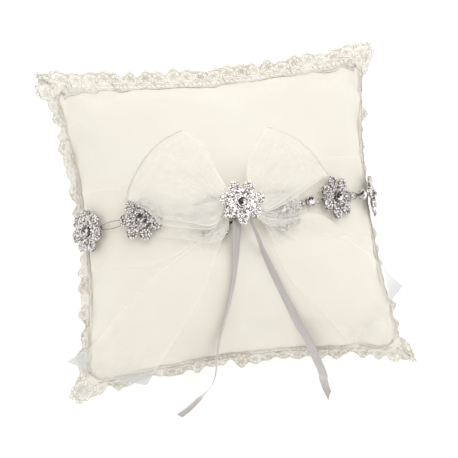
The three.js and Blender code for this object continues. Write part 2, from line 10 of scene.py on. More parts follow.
import bmesh
import bpy
import numpy as np
from mathutils import Matrix, Vector
from mathutils.bvhtree import BVHTree


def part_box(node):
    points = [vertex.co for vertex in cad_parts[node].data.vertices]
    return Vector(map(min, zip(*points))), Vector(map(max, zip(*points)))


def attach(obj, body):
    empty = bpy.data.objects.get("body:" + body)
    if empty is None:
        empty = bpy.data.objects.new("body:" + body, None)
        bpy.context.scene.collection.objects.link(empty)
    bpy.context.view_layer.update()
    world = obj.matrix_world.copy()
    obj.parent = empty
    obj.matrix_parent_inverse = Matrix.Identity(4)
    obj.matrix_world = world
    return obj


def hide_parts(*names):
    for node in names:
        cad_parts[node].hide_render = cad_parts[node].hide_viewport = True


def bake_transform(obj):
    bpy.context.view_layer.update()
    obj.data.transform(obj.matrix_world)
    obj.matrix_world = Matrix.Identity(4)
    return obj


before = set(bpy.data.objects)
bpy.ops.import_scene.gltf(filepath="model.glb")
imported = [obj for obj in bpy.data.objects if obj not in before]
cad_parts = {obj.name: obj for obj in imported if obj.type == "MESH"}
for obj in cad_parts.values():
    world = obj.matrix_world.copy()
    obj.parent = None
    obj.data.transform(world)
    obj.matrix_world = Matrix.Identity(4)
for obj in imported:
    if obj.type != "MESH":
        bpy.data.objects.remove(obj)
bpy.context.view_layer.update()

MM = 0.001

# %% [markdown]
# ## The pillow's shape in numbers
# The outline is a square whose sides pull in between the corners. The height over it falls
# from the crown to the seam, steeply at the end, as stuffed cloth does. All cloth that lies on
# the pillow is placed with this one rule, so it comes first.

# %% Pillow measures and the crown rule
cover_low, cover_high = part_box("front_cover")
back_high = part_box("back_cover")[1]
HALF_WIDTH = cover_high.x
HALF_DEPTH = cover_high.y
PULL_IN_SIDES = 10 * MM
PULL_IN_ENDS = 8 * MM
SEAM_Z = (cover_low.z + back_high.z) / 2
FRONT_CROWN = cover_high.z - SEAM_Z
BACK_CROWN = 37.4 * MM
CROWN_POWER = 0.6


def crown_shape(u, v):
    return np.maximum((1 - u * u) * (1 - v * v), 0) ** CROWN_POWER


def outline(u, v):
    x = u * (HALF_WIDTH - PULL_IN_SIDES * (1 - v * v))
    y = v * (HALF_DEPTH - PULL_IN_ENDS * (1 - u * u))
    return x, y


def shares(x, y):
    u, v = x / HALF_WIDTH, y / HALF_DEPTH
    for _ in range(30):
        u = x / (HALF_WIDTH - PULL_IN_SIDES * (1 - np.minimum(v * v, 1)))
        v = y / (HALF_DEPTH - PULL_IN_ENDS * (1 - np.minimum(u * u, 1)))
    return u, v


print("half sizes", round(HALF_WIDTH, 4), round(HALF_DEPTH, 4), "crown", round(FRONT_CROWN, 4))

# %% [markdown]
# ## Camera
# A long lens almost straight above the pillow, leaning a little to the left and the front.

# %% Camera
LENS_MM = 124.2
CAMERA_PLACE = Vector((-0.1582, -0.1322, 1.0276))
CAMERA_RIGHT = Vector((0.9822, -0.1256, 0.1398))
CAMERA_FORWARD = Vector((0.1552, 0.1224, -0.9803))

camera_data = bpy.data.cameras.new("camera")
camera_data.lens = LENS_MM
camera_data.sensor_width = 36
camera = bpy.data.objects.new("camera", camera_data)
bpy.context.scene.collection.objects.link(camera)
forward = CAMERA_FORWARD.normalized()
right = (CAMERA_RIGHT - CAMERA_RIGHT.dot(forward) * forward).normalized()
up = right.cross(forward)
turn = Matrix((right, up, -forward)).transposed().to_4x4()
camera.matrix_world = Matrix.Translation(CAMERA_PLACE) @ turn
bpy.context.scene.camera = camera
print("camera at", [round(v, 3) for v in CAMERA_PLACE])

# %% [markdown]
# ## Small helpers
# Every piece is a mesh whose vertices are already in place, so its object stays at the origin.
# `grid_piece` makes a sheet from a table of points, with its own UV map in metres, so that a
# weave keeps its true size on it.

# %% Helpers for making pieces


def add_object(name, mesh):
    made = bpy.data.objects.new(name, mesh)
    bpy.context.scene.collection.objects.link(made)
    return made


def mesh_piece(name, points, faces, material=None, smooth=True):
    mesh = bpy.data.meshes.new(name)
    mesh.from_pydata([tuple(p) for p in points], [], faces)
    mesh.validate()
    mesh.polygons.foreach_set("use_smooth", [smooth] * len(mesh.polygons))
    if material:
        mesh.materials.append(material)
    return add_object(name, mesh)


def grid_faces(cols, rows, closed_cols=False):
    faces = []
    for i in range(cols - (0 if closed_cols else 1)):
        for j in range(rows - 1):
            a, b = i * rows + j, (i + 1) % cols * rows + j
            faces.append((a, b, b + 1, a + 1))
    return faces


def grid_piece(name, table, uv_table, material, closed_cols=False):
    cols, rows = table.shape[:2]
    faces = grid_faces(cols, rows, closed_cols)
    made = mesh_piece(name, table.reshape(-1, 3), faces, material)
    uv_layer = made.data.uv_layers.new(name="cloth")
    flat = uv_table.reshape(-1, 2)
    for loop in made.data.loops:
        uv_layer.data[loop.index].uv = flat[loop.vertex_index]
    return made


def apply_modifiers(piece):
    shown = piece.evaluated_get(bpy.context.evaluated_depsgraph_get())
    mesh = bpy.data.meshes.new_from_object(shown)
    piece.modifiers.clear()
    piece.data = mesh
    return piece


def thicken(piece, thickness, side=0.0):
    solid = piece.modifiers.new("thickness", "SOLIDIFY")
    solid.thickness = thickness
    solid.offset = side
    return apply_modifiers(piece)


def smooth_step(t):
    t = np.clip(t, 0, 1)
    return t * t * (3 - 2 * t)


def curve_through(points, count):
    """Points evenly spread along a smooth curve through the given ones (Catmull-Rom)."""
    given = np.array(points, dtype=float)
    ends = np.vstack([2 * given[0] - given[1], given, 2 * given[-1] - given[-2]])
    dense = []
    for i in range(len(given) - 1):
        a, b, c, d = ends[i:i + 4]
        for t in np.linspace(0, 1, 24, endpoint=False):
            dense.append(0.5 * (2 * b + (c - a) * t + (2 * a - 5 * b + 4 * c - d) * t ** 2
                                + (3 * b - a - 3 * c + d) * t ** 3))
    dense.append(given[-1])
    dense = np.array(dense)
    steps = np.linalg.norm(np.diff(dense, axis=0), axis=1)
    along = np.concatenate([[0], np.cumsum(steps)])
    wanted = np.linspace(0, along[-1], count)
    return np.stack([np.interp(wanted, along, dense[:, k]) for k in range(dense.shape[1])], axis=1)


def unit(vectors):
    return vectors / np.maximum(np.linalg.norm(vectors, axis=-1, keepdims=True), 1e-12)


# %% [markdown]
# ## Materials
# Ivory cloth, lace thread, sheer organza, satin, plated metal and foil-backed crystal, with a
# painted glow and painted shade on the organza and painted reflections on the metal and crystal.
# The weave is built from wave textures on the cloth's own UV map, whose unit is the metre, so the
# thread pitch below is a true size. Constants are set on the shader's sockets.

# %% Material helpers


def fill_inputs(tree, node, given):
    """Fill a node's inputs, by name or number, with values or with links from other nodes."""
    for socket, value in given.items():
        if isinstance(value, bpy.types.NodeSocket):
            tree.links.new(value, node.inputs[socket])
        else:
            node.inputs[socket].default_value = value
    return node


def add_node(tree, kind, given, **settings):
    made = tree.nodes.new(kind)
    for label, value in settings.items():
        setattr(made, label, value)
    return fill_inputs(tree, made, given)


def new_material(name, color, roughness, others=None):
    material = bpy.data.materials.new(name)
    material.use_nodes = True
    tree = material.node_tree
    shader = fill_inputs(tree, tree.nodes["Principled BSDF"], {
        "Base Color": (*color, 1), "Roughness": roughness, **(others or {})})
    return material, tree, shader


def coordinates(tree, kind="UV"):
    return add_node(tree, "ShaderNodeTexCoord", {}).outputs[kind]


def scaled(tree, vector, scale, turn_z=0.0):
    return add_node(tree, "ShaderNodeMapping", {
        "Vector": vector, "Scale": scale, "Rotation": (0, 0, turn_z)}).outputs["Vector"]


def threads(tree, vector, pitch, direction):
    wave = add_node(tree, "ShaderNodeTexWave", {
        "Vector": vector, "Scale": math.pi / 10 / pitch, "Distortion": 0.6, "Detail": 1.0},
        wave_type="BANDS", bands_direction=direction)
    return wave.outputs["Fac"]


def math_node(tree, operation, *values):
    return add_node(tree, "ShaderNodeMath", dict(enumerate(values)), operation=operation).outputs[0]


def weave_of(tree, operation, uv, pitch):
    return math_node(tree, operation, threads(tree, uv, pitch, "X"), threads(tree, uv, pitch, "Y"))


def noise(tree, vector, scale, detail=3.0):
    return add_node(tree, "ShaderNodeTexNoise", {
        "Vector": vector, "Scale": scale, "Detail": detail}).outputs["Fac"]


def attribute_value(tree, name):
    return add_node(tree, "ShaderNodeAttribute", {}, attribute_name=name).outputs["Fac"]


def ramp(tree, value, stops):
    made = add_node(tree, "ShaderNodeValToRGB", {"Fac": value})
    for element, (place, color) in zip(made.color_ramp.elements, stops):
        element.position = place
        element.color = (*color, 1)
    return made.outputs["Color"]


def bump(tree, height, strength, distance):
    return add_node(tree, "ShaderNodeBump", {
        "Height": height, "Strength": strength, "Distance": distance}).outputs["Normal"]


# %% Cloth and thread materials
COVER_THREAD = 0.45 * MM
ORGANZA_THREAD = 0.5 * MM
SATIN_THREAD = 0.35 * MM
# Grey colour of the painted shade on organza, where an edge is seen side on and at the tail ends.
ORGANZA_PAINTED_SHADE = (0.62, 0.63, 0.635)
# Painted glow: emission for each unit of the density attribute, and the least painted glow everywhere.
PAINTED_GLOW_OF_HEM, LEAST_PAINTED_GLOW = 0.17, 0.045
HEM_SOLID = 0.8
THREAD_SOLID, CLOUD_SOLID = 0.30, 0.12


def cover_cloth():
    material, tree, shader = new_material("ivory cover cloth", (0.86, 0.83, 0.74), 0.72, {
        "Sheen Weight": 0.25, "Sheen Roughness": 0.5, "Specular IOR Level": 0.3})
    uv = coordinates(tree)
    slub = noise(tree, scaled(tree, uv, (40, 900, 1)), 1.0, 2.0)
    height = math_node(tree, "ADD", weave_of(tree, "MULTIPLY", uv, COVER_THREAD),
                       math_node(tree, "MULTIPLY", slub, 0.6))
    tint = ramp(tree, noise(tree, uv, 22.0),
                [(0.3, (0.835, 0.80, 0.705)), (0.7, (0.875, 0.845, 0.765))])
    fill_inputs(tree, shader, {"Base Color": tint, "Normal": bump(tree, height, 0.25, 0.00012)})
    return material


def lace_thread():
    material, tree, shader = new_material("ivory lace thread", (0.82, 0.77, 0.67), 0.8, {
        "Sheen Weight": 0.2})
    spot = coordinates(tree, "Object")
    tint = ramp(tree, noise(tree, spot, 60.0),
                [(0.3, (0.77, 0.715, 0.61)), (0.7, (0.90, 0.865, 0.785))])
    twist = noise(tree, spot, 2600.0, 2.0)
    fill_inputs(tree, shader, {"Base Color": tint, "Normal": bump(tree, twist, 0.5, 0.0002)})
    return material


def organza(name, clear, color=(0.95, 0.93, 0.865)):
    """Sheer cloth: a thin thread grid mixed with open holes. clear is the share that is open."""
    # Painted glow: an emission stands in for the light that comes through the sheer cloth. It is stronger
    # where the cloth is dense and weaker where the `shade` attribute paints it greyer, a painted shade.
    material, tree, shader = new_material(name, color, 0.45, {
        "Sheen Weight": 0.4, "Specular IOR Level": 0.35, "Emission Color": (*color, 1)})
    uv = coordinates(tree)
    weave = weave_of(tree, "MAXIMUM", uv, ORGANZA_THREAD)
    ground = 1 - clear - 0.22
    solid = math_node(tree, "MULTIPLY_ADD", weave, THREAD_SOLID, ground)
    cloud = math_node(tree, "MULTIPLY", noise(tree, uv, 90.0, 4.0), CLOUD_SOLID)
    hem_and_glow, shade = attribute_value(tree, "hem_and_glow"), attribute_value(tree, "shade")
    painted_glow = math_node(tree, "MULTIPLY", math_node(tree, "SUBTRACT", hem_and_glow, shade), PAINTED_GLOW_OF_HEM)
    fill_inputs(tree, shader, {
        "Base Color": ramp(tree, shade, [(0.0, color), (1.0, ORGANZA_PAINTED_SHADE)]),
        "Emission Strength": math_node(tree, "MAXIMUM", painted_glow, LEAST_PAINTED_GLOW),
        "Alpha": math_node(tree, "MAXIMUM", math_node(tree, "ADD", solid, cloud),
                           math_node(tree, "MULTIPLY", hem_and_glow, HEM_SOLID)),
        "Normal": bump(tree, weave, 0.2, 0.0001)})
    return material


def silver_satin():
    material, tree, shader = new_material("silver grey satin", (0.52, 0.49, 0.475), 0.36, {
        "Sheen Weight": 0.3, "Anisotropic": 0.5})
    uv = coordinates(tree)
    streak = noise(tree, scaled(tree, uv, (1500, 60, 1)), 1.0, 2.0)
    tint = ramp(tree, streak, [(0.3, (0.46, 0.43, 0.415)), (0.7, (0.57, 0.54, 0.53))])
    warp = threads(tree, uv, SATIN_THREAD, "X")
    fill_inputs(tree, shader, {"Base Color": tint, "Normal": bump(tree, warp, 0.2, 0.00008)})
    return material


def fibre():
    material, tree, shader = new_material("white fibre", (0.93, 0.93, 0.90), 0.95)
    fluff = noise(tree, coordinates(tree, "Object"), 900.0, 6.0)
    fill_inputs(tree, shader, {"Normal": bump(tree, fluff, 0.8, 0.0006)})
    return material


COVER_CLOTH = cover_cloth()
LACE_THREAD = lace_thread()
ORGANZA_SASH = organza("ivory organza, one layer", 0.72)
# The bow's organza is painted a little lighter than the sash's, as painted light for the light that comes
# through its layers.
ORGANZA_BOW = organza("ivory organza, bow", 0.74, (0.97, 0.95, 0.885))
ORGANZA_KNOT = organza("ivory organza, knotted", 0.2)
SILVER_SATIN = silver_satin()
WHITE_FIBRE = fibre()

# %% Metal and crystal materials


def plated_metal(name, painted_dark_reflection, bright):
    # The colour is painted in noise patches of a dark and a bright tone; the dark patches are painted dark
    # reflections in the plate.
    material, tree, shader = new_material(name, bright, 0.16, {"Metallic": 1.0})
    spot = coordinates(tree, "Object")
    wear = noise(tree, spot, 900.0)
    fill_inputs(tree, shader, {
        "Base Color": ramp(tree, noise(tree, spot, 850.0), [(0.42, painted_dark_reflection), (0.6, bright)]),
        "Roughness": ramp(tree, wear, [(0.3, (0.10, 0.10, 0.10)), (0.75, (0.30, 0.30, 0.30))]),
        "Normal": bump(tree, wear, 0.15, 0.0001)})
    return material


def crystal_with_painted_reflections(name, dark, light, dark_share):
    """A stone backed with foil, with painted reflections: each facet is painted light or dark by its own
    facet value.
    """
    material, tree, shader = new_material(name, light, 0.04, {
        "Metallic": 0.9, "Coat Weight": 1.0, "Coat Roughness": 0.02})
    # A noise cloud also shifts the painted reflections from facet to facet.
    cloud = math_node(tree, "MULTIPLY", noise(tree, coordinates(tree, "Object"), 700.0), 0.3)
    value = math_node(tree, "ADD", attribute_value(tree, "facet"),
                      math_node(tree, "SUBTRACT", cloud, 0.15))
    tint = ramp(tree, value, [(dark_share - 0.08, dark), (dark_share + 0.12, light)])
    fill_inputs(tree, shader, {"Base Color": tint})
    return material


SILVER_METAL = plated_metal("bright silver plate", (0.34, 0.32, 0.31), (0.92, 0.89, 0.88))
WIRE_METAL = plated_metal("silver wire", (0.30, 0.28, 0.27), (0.50, 0.47, 0.46))
# The settings get the darkest painted reflections.
SETTING_METAL = plated_metal("silver plate, darkest painted reflections", (0.09, 0.08, 0.075), (0.84, 0.80, 0.785))
BIG_CRYSTAL = crystal_with_painted_reflections("crystal with painted reflections, large", (0.03, 0.027, 0.02), (0.98, 0.96, 0.94), 0.45)
PAVE_CRYSTAL = crystal_with_painted_reflections("crystal with painted reflections, small", (0.05, 0.04, 0.042), (0.98, 0.94, 0.93), 0.34)
print(len(bpy.data.materials), "materials")

# %% [markdown]
# ## The two satin ribbons
# The rings are tied on with two 6 mm satin ribbons that leave the knot under the brooch, lie
# over the pillow, cross the lace and end in slanted cuts on the table. A ribbon is a flat
# strip swept along its route. It rolls about its own length as a real one does, so one
# stretch shows its full width and the next stands half on edge.

# %% Ribbons
RIBBON_WIDTH = 6 * MM
RIBBON_THICKNESS = 0.25 * MM
RIBBON_RINGS = 96
RIBBON_LEFT_PATH = [
    (-3.8, -9.9, 87.4), (-4.4, -13.5, 87.0), (-5.0, -18, 85.6), (-5.4, -23, 81.8),
    (-5.8, -29, 77.6), (-6.6, -36, 74.8), (-8.0, -44, 72.0), (-10.2, -52, 68.8),
    (-12.6, -60, 64.9), (-15.0, -67, 60.8), (-17.2, -74, 55.7), (-18.8, -80, 50.4),
    (-19.7, -85, 44.6), (-20.0, -89.5, 37.6), (-20.3, -95, 32.2), (-21.0, -100, 27.0),
    (-22.3, -104, 19.5), (-24.0, -106.8, 11.5), (-26.4, -109.8, 4.6), (-30.0, -113.4, 1.2),
    (-36.0, -118.0, 0.8), (-43.2, -122.1, 0.7),
]
RIBBON_RIGHT_PATH = [
    (3.8, -9.9, 87.4), (5.0, -13.5, 87.0), (6.8, -18.5, 85.2), (9.0, -24, 80.6),
    (11.4, -30, 76.6), (14.4, -38, 73.8), (17.6, -46, 70.7), (21.2, -54, 67.2),
    (25.0, -62, 63.0), (28.8, -69.5, 58.3), (32.4, -76, 53.4), (35.8, -81.5, 48.8),
    (38.6, -86, 43.6), (41.2, -90.5, 37.4), (44.0, -95.5, 31.6), (46.8, -100.5, 26.0),
    (49.4, -105, 19.0), (51.6, -109, 12.0), (53.6, -113, 5.6), (55.2, -116.8, 1.6),
    (56.8, -121.5, 0.8),
]
RIBBON_CUP = 0.35 * MM
RIBBON_LIFT = 0.42  # share of the width that a ribbon on edge is lifted by
# Roll in degrees at shares of the length.
ROLL_LEFT = [(0, -16), (0.12, -38), (0.3, -62), (0.5, -71), (0.72, -73), (0.84, -70), (0.93, -60), (1, -52)]
ROLL_RIGHT = [(0, 86), (0.12, 80), (0.24, 54), (0.4, 48), (0.7, 50), (0.9, 52), (1, 52)]


def satin_strip(name, path, roll, slant, body):
    rings = curve_through(np.array(path) * MM, RIBBON_RINGS)
    share = np.linspace(0, 1, RIBBON_RINGS)
    angle = np.radians(np.interp(share, *zip(*roll)))
    tangent = unit(np.gradient(rings, axis=0))
    level = unit(np.cross(tangent, np.tile([0, 0, 1.0], (RIBBON_RINGS, 1))))
    normal = unit(np.cross(level, tangent))
    side = level * np.cos(angle)[:, None] - normal * np.sin(angle)[:, None]
    face = unit(np.cross(side, tangent))
    on_table = smooth_step((0.9 - share) / 0.06)
    rings = rings + normal * (np.sin(np.abs(angle)) * RIBBON_WIDTH * RIBBON_LIFT * on_table)[:, None]
    across = np.linspace(-0.5, 0.5, 9)
    cup = RIBBON_CUP * (1 - 4 * across ** 2)
    table = (rings[:, None] + side[:, None] * (across * RIBBON_WIDTH)[None, :, None]
             + face[:, None] * cup[None, :, None])
    near_end = smooth_step((share - 0.93) / 0.07)
    table += tangent[:, None] * (near_end[:, None] * across[None, :] * slant)[..., None]
    table[..., 2] = np.maximum(table[..., 2], RIBBON_THICKNESS)
    steps = np.concatenate([[0], np.cumsum(np.linalg.norm(np.diff(rings, axis=0), axis=1))])
    uv = np.stack(np.meshgrid(across * RIBBON_WIDTH, steps), axis=-1)
    made = grid_piece(name, table, uv, SILVER_SATIN)
    thicken(made, RIBBON_THICKNESS)
    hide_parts(body)
    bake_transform(made)
    print(name, "length", round(float(steps[-1]), 4))


satin_strip("satin_ribbon_left", RIBBON_LEFT_PATH, ROLL_LEFT, 2.4 * MM, "ribbon_left")
satin_strip("satin_ribbon_right", RIBBON_RIGHT_PATH, ROLL_RIGHT, 5.5 * MM, "ribbon_right")

# %% [markdown]
# ## The pillow
# Two squares of cloth sewn together and stuffed. Front and back start as one closed mesh that
# meets at the seam, with rows of vertices that crowd towards the seam, where the cloth turns.
# A Cloth simulation with pressure blows it up: the seam and the resting patch are held, and
# the cloth is a little too large for its outline, so it puckers where it is sewn. The move of
# each point is capped, because the sash and the jewels have to lie on it.

# %% Cushion mesh and its Cloth simulation
CLOTH_STEPS = 60
EXTRA_CLOTH = 0.022
SWELL_LIMIT = 2.2 * MM
SWELL_UNDER_CHAIN = 0.3 * MM
STUFFING_PRESSURE = 4
CLOTH_FRAMES = 20
CHAIN_BAND, CHAIN_BAND_EDGE = 15, 18
RESTING_BELOW = 0.2 * MM


def cushion_table(front):
    s = np.sin((np.linspace(0, 1, CLOTH_STEPS + 1) - 0.5) * math.pi)
    u, v = np.meshgrid(s, s, indexing="ij")
    x, y = outline(u, v)
    crown = crown_shape(u, v)
    z = SEAM_Z + FRONT_CROWN * crown if front else np.maximum(SEAM_Z - BACK_CROWN * crown, 0)
    return np.stack([x, y, z], axis=-1)


def closed_cushion(name):
    side = CLOTH_STEPS + 1
    front, back = cushion_table(True), cushion_table(False)
    points = list(front.reshape(-1, 3))
    index = np.arange(side * side).reshape(side, side)
    lower = index.copy()
    for i in range(1, side - 1):
        for j in range(1, side - 1):
            lower[i, j] = len(points)
            points.append(back[i, j])
    faces = []
    for i in range(side - 1):
        for j in range(side - 1):
            faces.append((index[i, j], index[i + 1, j], index[i + 1, j + 1], index[i, j + 1]))
            faces.append((lower[i, j], lower[i, j + 1], lower[i + 1, j + 1], lower[i + 1, j]))
    return mesh_piece(name, points, [tuple(int(k) for k in f) for f in faces], COVER_CLOTH), index, lower


cushion, front_index, back_index = closed_cushion("cushion_work")
start_points = np.array([v.co[:] for v in cushion.data.vertices])
seam_vertices = sorted({int(k) for k in np.concatenate(
    [front_index[0], front_index[-1], front_index[:, 0], front_index[:, -1]])})

held = cushion.vertex_groups.new(name="held")
held.add(seam_vertices, 1.0, "REPLACE")
resting = [i for i, p in enumerate(start_points) if p[2] < RESTING_BELOW]
held.add(resting, 1.0, "REPLACE")
blown = cushion.modifiers.new("stuffing", "CLOTH")
blown.settings.use_pressure = True
blown.settings.uniform_pressure_force = STUFFING_PRESSURE
blown.settings.effector_weights.gravity = 0
blown.settings.vertex_group_mass = "held"
blown.settings.shrink_min = -EXTRA_CLOTH
blown.settings.quality = 6
blown.point_cache.frame_start = 1
blown.point_cache.frame_end = CLOTH_FRAMES
for step in range(1, CLOTH_FRAMES + 1):
    bpy.context.scene.frame_set(step)
apply_modifiers(cushion)
bpy.context.scene.frame_set(1)
for group in list(cushion.vertex_groups):
    cushion.vertex_groups.remove(group)

moved = np.array([v.co[:] for v in cushion.data.vertices]) - start_points
distance = np.linalg.norm(moved, axis=1)
off_chain = smooth_step((np.abs(start_points[:, 1]) / MM - CHAIN_BAND) / CHAIN_BAND_EDGE)
limit = SWELL_UNDER_CHAIN + (SWELL_LIMIT - SWELL_UNDER_CHAIN) * off_chain
cushion_points = start_points + moved * (np.minimum(distance, limit) / np.maximum(distance, 1e-9))[:, None]
cushion_points[:, 2] = np.maximum(cushion_points[:, 2], 0)
print("cloth moved by up to", round(float(distance.max()) / MM, 2), "mm, kept to",
      round(float(np.linalg.norm(cushion_points - start_points, axis=1).max()) / MM, 2))

# %% Front cover, back cover and filling
COVER_THICKNESS = 0.6 * MM
FILLING_GAP = 1.2 * MM
# The filling is drawn in from the seam by these shares, more so in the corners.
DRAWN_TO, DRAWN_IN_CORNERS = 0.965, 0.12
CORNER_BEGINS = 0.45


def cover_piece(name, index, node):
    made = grid_piece(name, cushion_points[index], cushion_points[index][..., :2], COVER_CLOTH)
    if node == "back_cover":
        made.data.flip_normals()
    finer = made.modifiers.new("finer", "SUBSURF")
    finer.levels = finer.render_levels = 1
    finer.boundary_smooth = "ALL"
    apply_modifiers(made)
    tree = BVHTree.FromPolygons([v.co[:] for v in made.data.vertices],
                                [p.vertices[:] for p in made.data.polygons])
    thicken(made, COVER_THICKNESS, -1.0)
    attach(made, "root")
    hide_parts(node)
    return made, tree


front_piece, front_tree = cover_piece("pillow_front", front_index, "front_cover")
cover_piece("pillow_back", back_index, "back_cover")

work_normals = np.array([v.normal[:] for v in cushion.data.vertices])
middle = np.array([0, 0, SEAM_Z])
inner = cushion_points - work_normals * (COVER_THICKNESS + FILLING_GAP)
corner_share = np.abs(start_points[:, 0] * start_points[:, 1]) / (HALF_WIDTH * HALF_DEPTH)
draw_in = DRAWN_TO - DRAWN_IN_CORNERS * smooth_step((corner_share - CORNER_BEGINS) / 0.5)
in_corner = np.where(corner_share > CORNER_BEGINS, draw_in + 1 - DRAWN_TO, 1)
inner = middle + (inner - middle) * in_corner[:, None]
inner[seam_vertices] = middle + (cushion_points[seam_vertices] - middle) * draw_in[seam_vertices, None]
filling = mesh_piece("fibre_stuffing", inner, [p.vertices[:] for p in cushion.data.polygons],
                     WHITE_FIBRE)
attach(filling, "root")
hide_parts("fibre_filling")
bpy.data.objects.remove(cushion)


SEAM_RISE = 1.4 * MM
FALL_PAST_SEAM = 0.15


def cover_rule(x, y):
    """Height of the cover by the crown rule; past the seam it falls off gently."""
    u, v = shares(x, y)
    past = np.maximum(np.maximum(np.abs(u), np.abs(v)) - 1, 0) * HALF_WIDTH
    rise = (FRONT_CROWN - SEAM_RISE) * crown_shape(u, v)
    return SEAM_Z + SEAM_RISE + rise - FALL_PAST_SEAM * past


def cover_height(x, y):
    """Height of the blown front cover at plan points, or the rule's where there is none."""
    found = cover_rule(x, y)
    for spot, place in enumerate(zip(np.ravel(x), np.ravel(y))):
        hit = front_tree.ray_cast(Vector((place[0], place[1], 0.3)), Vector((0, 0, -1)))[0]
        if hit is not None:
            found.flat[spot] = hit.z
    return found


print("filling and covers made;", len(front_piece.data.vertices), "vertices in the front")

# %% [markdown]
# ## The lace edging
# A ready-made lace band is gathered into the seam all round: a fine net ground, two corded
# lines along its header, two beside the seam, a six-lobed rosette in each repeat and a
# scalloped edge with picots. One repeat is drawn as open and closed thread lines. Geometry
# Nodes repeat it along a straight band, turn each a little by a seeded amount and give the
# lines a thread's thickness. The straight band is then laid along the seam, where it droops,
# waves and crowds at the corners.

# %% One repeat of the lace, as thread lines
REPEAT = 9.0 * MM
LACE_BAND = 11 * MM
THREAD = 0.36 * MM
THREAD_WANDER = 0.12 * MM


def oval(x, y, wide, high, count):
    turn = np.linspace(0, 2 * math.pi, count, endpoint=False)
    return np.stack([x + wide * np.cos(turn), y + high * np.sin(turn)], 1)


def thread_lines():
    """Each line is (closed, points); x runs along the band and y runs outwards, in mm."""
    lobes = 1.75 + 0.85 * np.cos(6 * np.linspace(0, 2 * math.pi, 48, endpoint=False))
    lines = [(True, oval(4.5, 5.5, lobes, lobes, 48)), (True, oval(4.5, 5.5, 0.55, 0.55, 8))]
    along = np.linspace(0, 9, 7)
    for level in (-7.2, -5.6, 0.3, 1.7):
        lines.append((False, np.stack([along, level + 0.15 * np.sin(along * 4.2 + level)], 1)))
    climb = np.linspace(0, 1, 5)
    for start, way in ((0.3, 1), (3.3, -1), (6.0, 1)):
        lines.append((False, np.stack([start + 2.4 * climb, -2.6 + way * 2.8 * (climb - 0.5) * 2], 1)))
    lines.append((False, np.array([[0.6, 1.9], [1.7, 3.1], [2.9, 4.1]])))
    lines.append((False, np.array([[8.4, 1.9], [7.3, 3.1], [6.1, 4.1]])))
    lines.append((True, oval(0, 4.4, 0.9, 1.9, 12)))
    arc = np.linspace(0, 1, 15)
    lines.append((False, np.stack([9 * arc, 6.6 + 2.6 * np.sin(math.pi * arc)], 1)))
    for share in (0.08, 0.29, 0.5, 0.71, 0.92):
        lines.append((True, oval(9 * share, 7.2 + 2.6 * math.sin(math.pi * share), 0.6, 0.75, 8)))
    return lines


def repeat_object():
    drawn = bpy.data.curves.new("lace_repeat", "CURVE")
    drawn.dimensions = "3D"
    for number, (closed, points) in enumerate(thread_lines()):
        spline = drawn.splines.new("POLY")
        spline.points.add(len(points) - 1)
        for point, (x, y) in zip(spline.points, points):
            point.co = (x * MM, y * MM, THREAD_WANDER * math.sin(3 * number + x), 1)
        spline.use_cyclic_u = closed
    return add_object("lace_repeat", drawn)


# %% A Geometry Nodes tree that repeats the lace along a band


def node_tree(name, sockets):
    tree = bpy.data.node_groups.new(name, "GeometryNodeTree")
    tree.interface.new_socket("Geometry", in_out="INPUT", socket_type="NodeSocketGeometry")
    for label, kind in sockets.items():
        tree.interface.new_socket(label, in_out="INPUT", socket_type="NodeSocket" + kind)
    tree.interface.new_socket("Geometry", in_out="OUTPUT", socket_type="NodeSocketGeometry")
    return tree, tree.nodes.new("NodeGroupInput").outputs, tree.nodes.new("NodeGroupOutput")


def run_nodes(piece, tree, values):
    modifier = piece.modifiers.new("nodes", "NODES")
    modifier.node_group = tree
    for item in tree.interface.items_tree:
        if item.in_out == "INPUT" and item.name in values:
            modifier[item.identifier] = values[item.name]
    return apply_modifiers(piece)


def lace_tree():
    tree, given, result = node_tree("lace band", {
        "Repeat": "Object", "Pitch": "Float", "Count": "Int", "Thread radius": "Float",
        "Unevenness": "Float", "Seed": "Int", "Thread": "Material"})
    step = add_node(tree, "ShaderNodeCombineXYZ", {"X": given["Pitch"]})
    row = add_node(tree, "GeometryNodeMeshLine", {"Count": given["Count"], "Offset": step.outputs[0]})
    info = add_node(tree, "GeometryNodeObjectInfo", {"Object": given["Repeat"]})
    low, high = [add_node(tree, "ShaderNodeVectorMath", {0: (way, way, way), "Scale": given["Unevenness"]},
                          operation="SCALE") for way in (-1, 1)]
    wobble = add_node(tree, "FunctionNodeRandomValue", {
        "Min": low.outputs[0], "Max": high.outputs[0], "Seed": given["Seed"]},
        data_type="FLOAT_VECTOR")
    place = add_node(tree, "GeometryNodeInstanceOnPoints", {
        "Points": row.outputs["Mesh"], "Instance": info.outputs["Geometry"],
        "Rotation": wobble.outputs[0]})
    real = add_node(tree, "GeometryNodeRealizeInstances", {0: place.outputs[0]})
    ring = add_node(tree, "GeometryNodeCurvePrimitiveCircle", {
        "Resolution": 3, "Radius": given["Thread radius"]})
    tube = add_node(tree, "GeometryNodeCurveToMesh", {
        "Curve": real.outputs[0], "Profile Curve": ring.outputs["Curve"]})
    paint = add_node(tree, "GeometryNodeSetMaterial", {
        "Geometry": tube.outputs[0], "Material": given["Thread"]})
    fill_inputs(tree, result, {0: paint.outputs[0]})
    return tree


# %% Lay the lace band along the seam
CORNER_CROWDING = 1.1
CORNER_FROM, CORNER_SPAN = 0.93, 0.07
CORNER_START = 3.6 * MM
LACE_RAISED, RAISED_REACH = 1.6 * MM, 2.6 * MM
LACE_OFF_COVER = 0.25 * MM
# Out and up parts of the way off the cover beside the seam.
OFF_OUT, OFF_UP = 0.8, 0.6
SEAM_EDGE_RISE = 0.6 * MM
LACE_LOWEST = 1 * MM
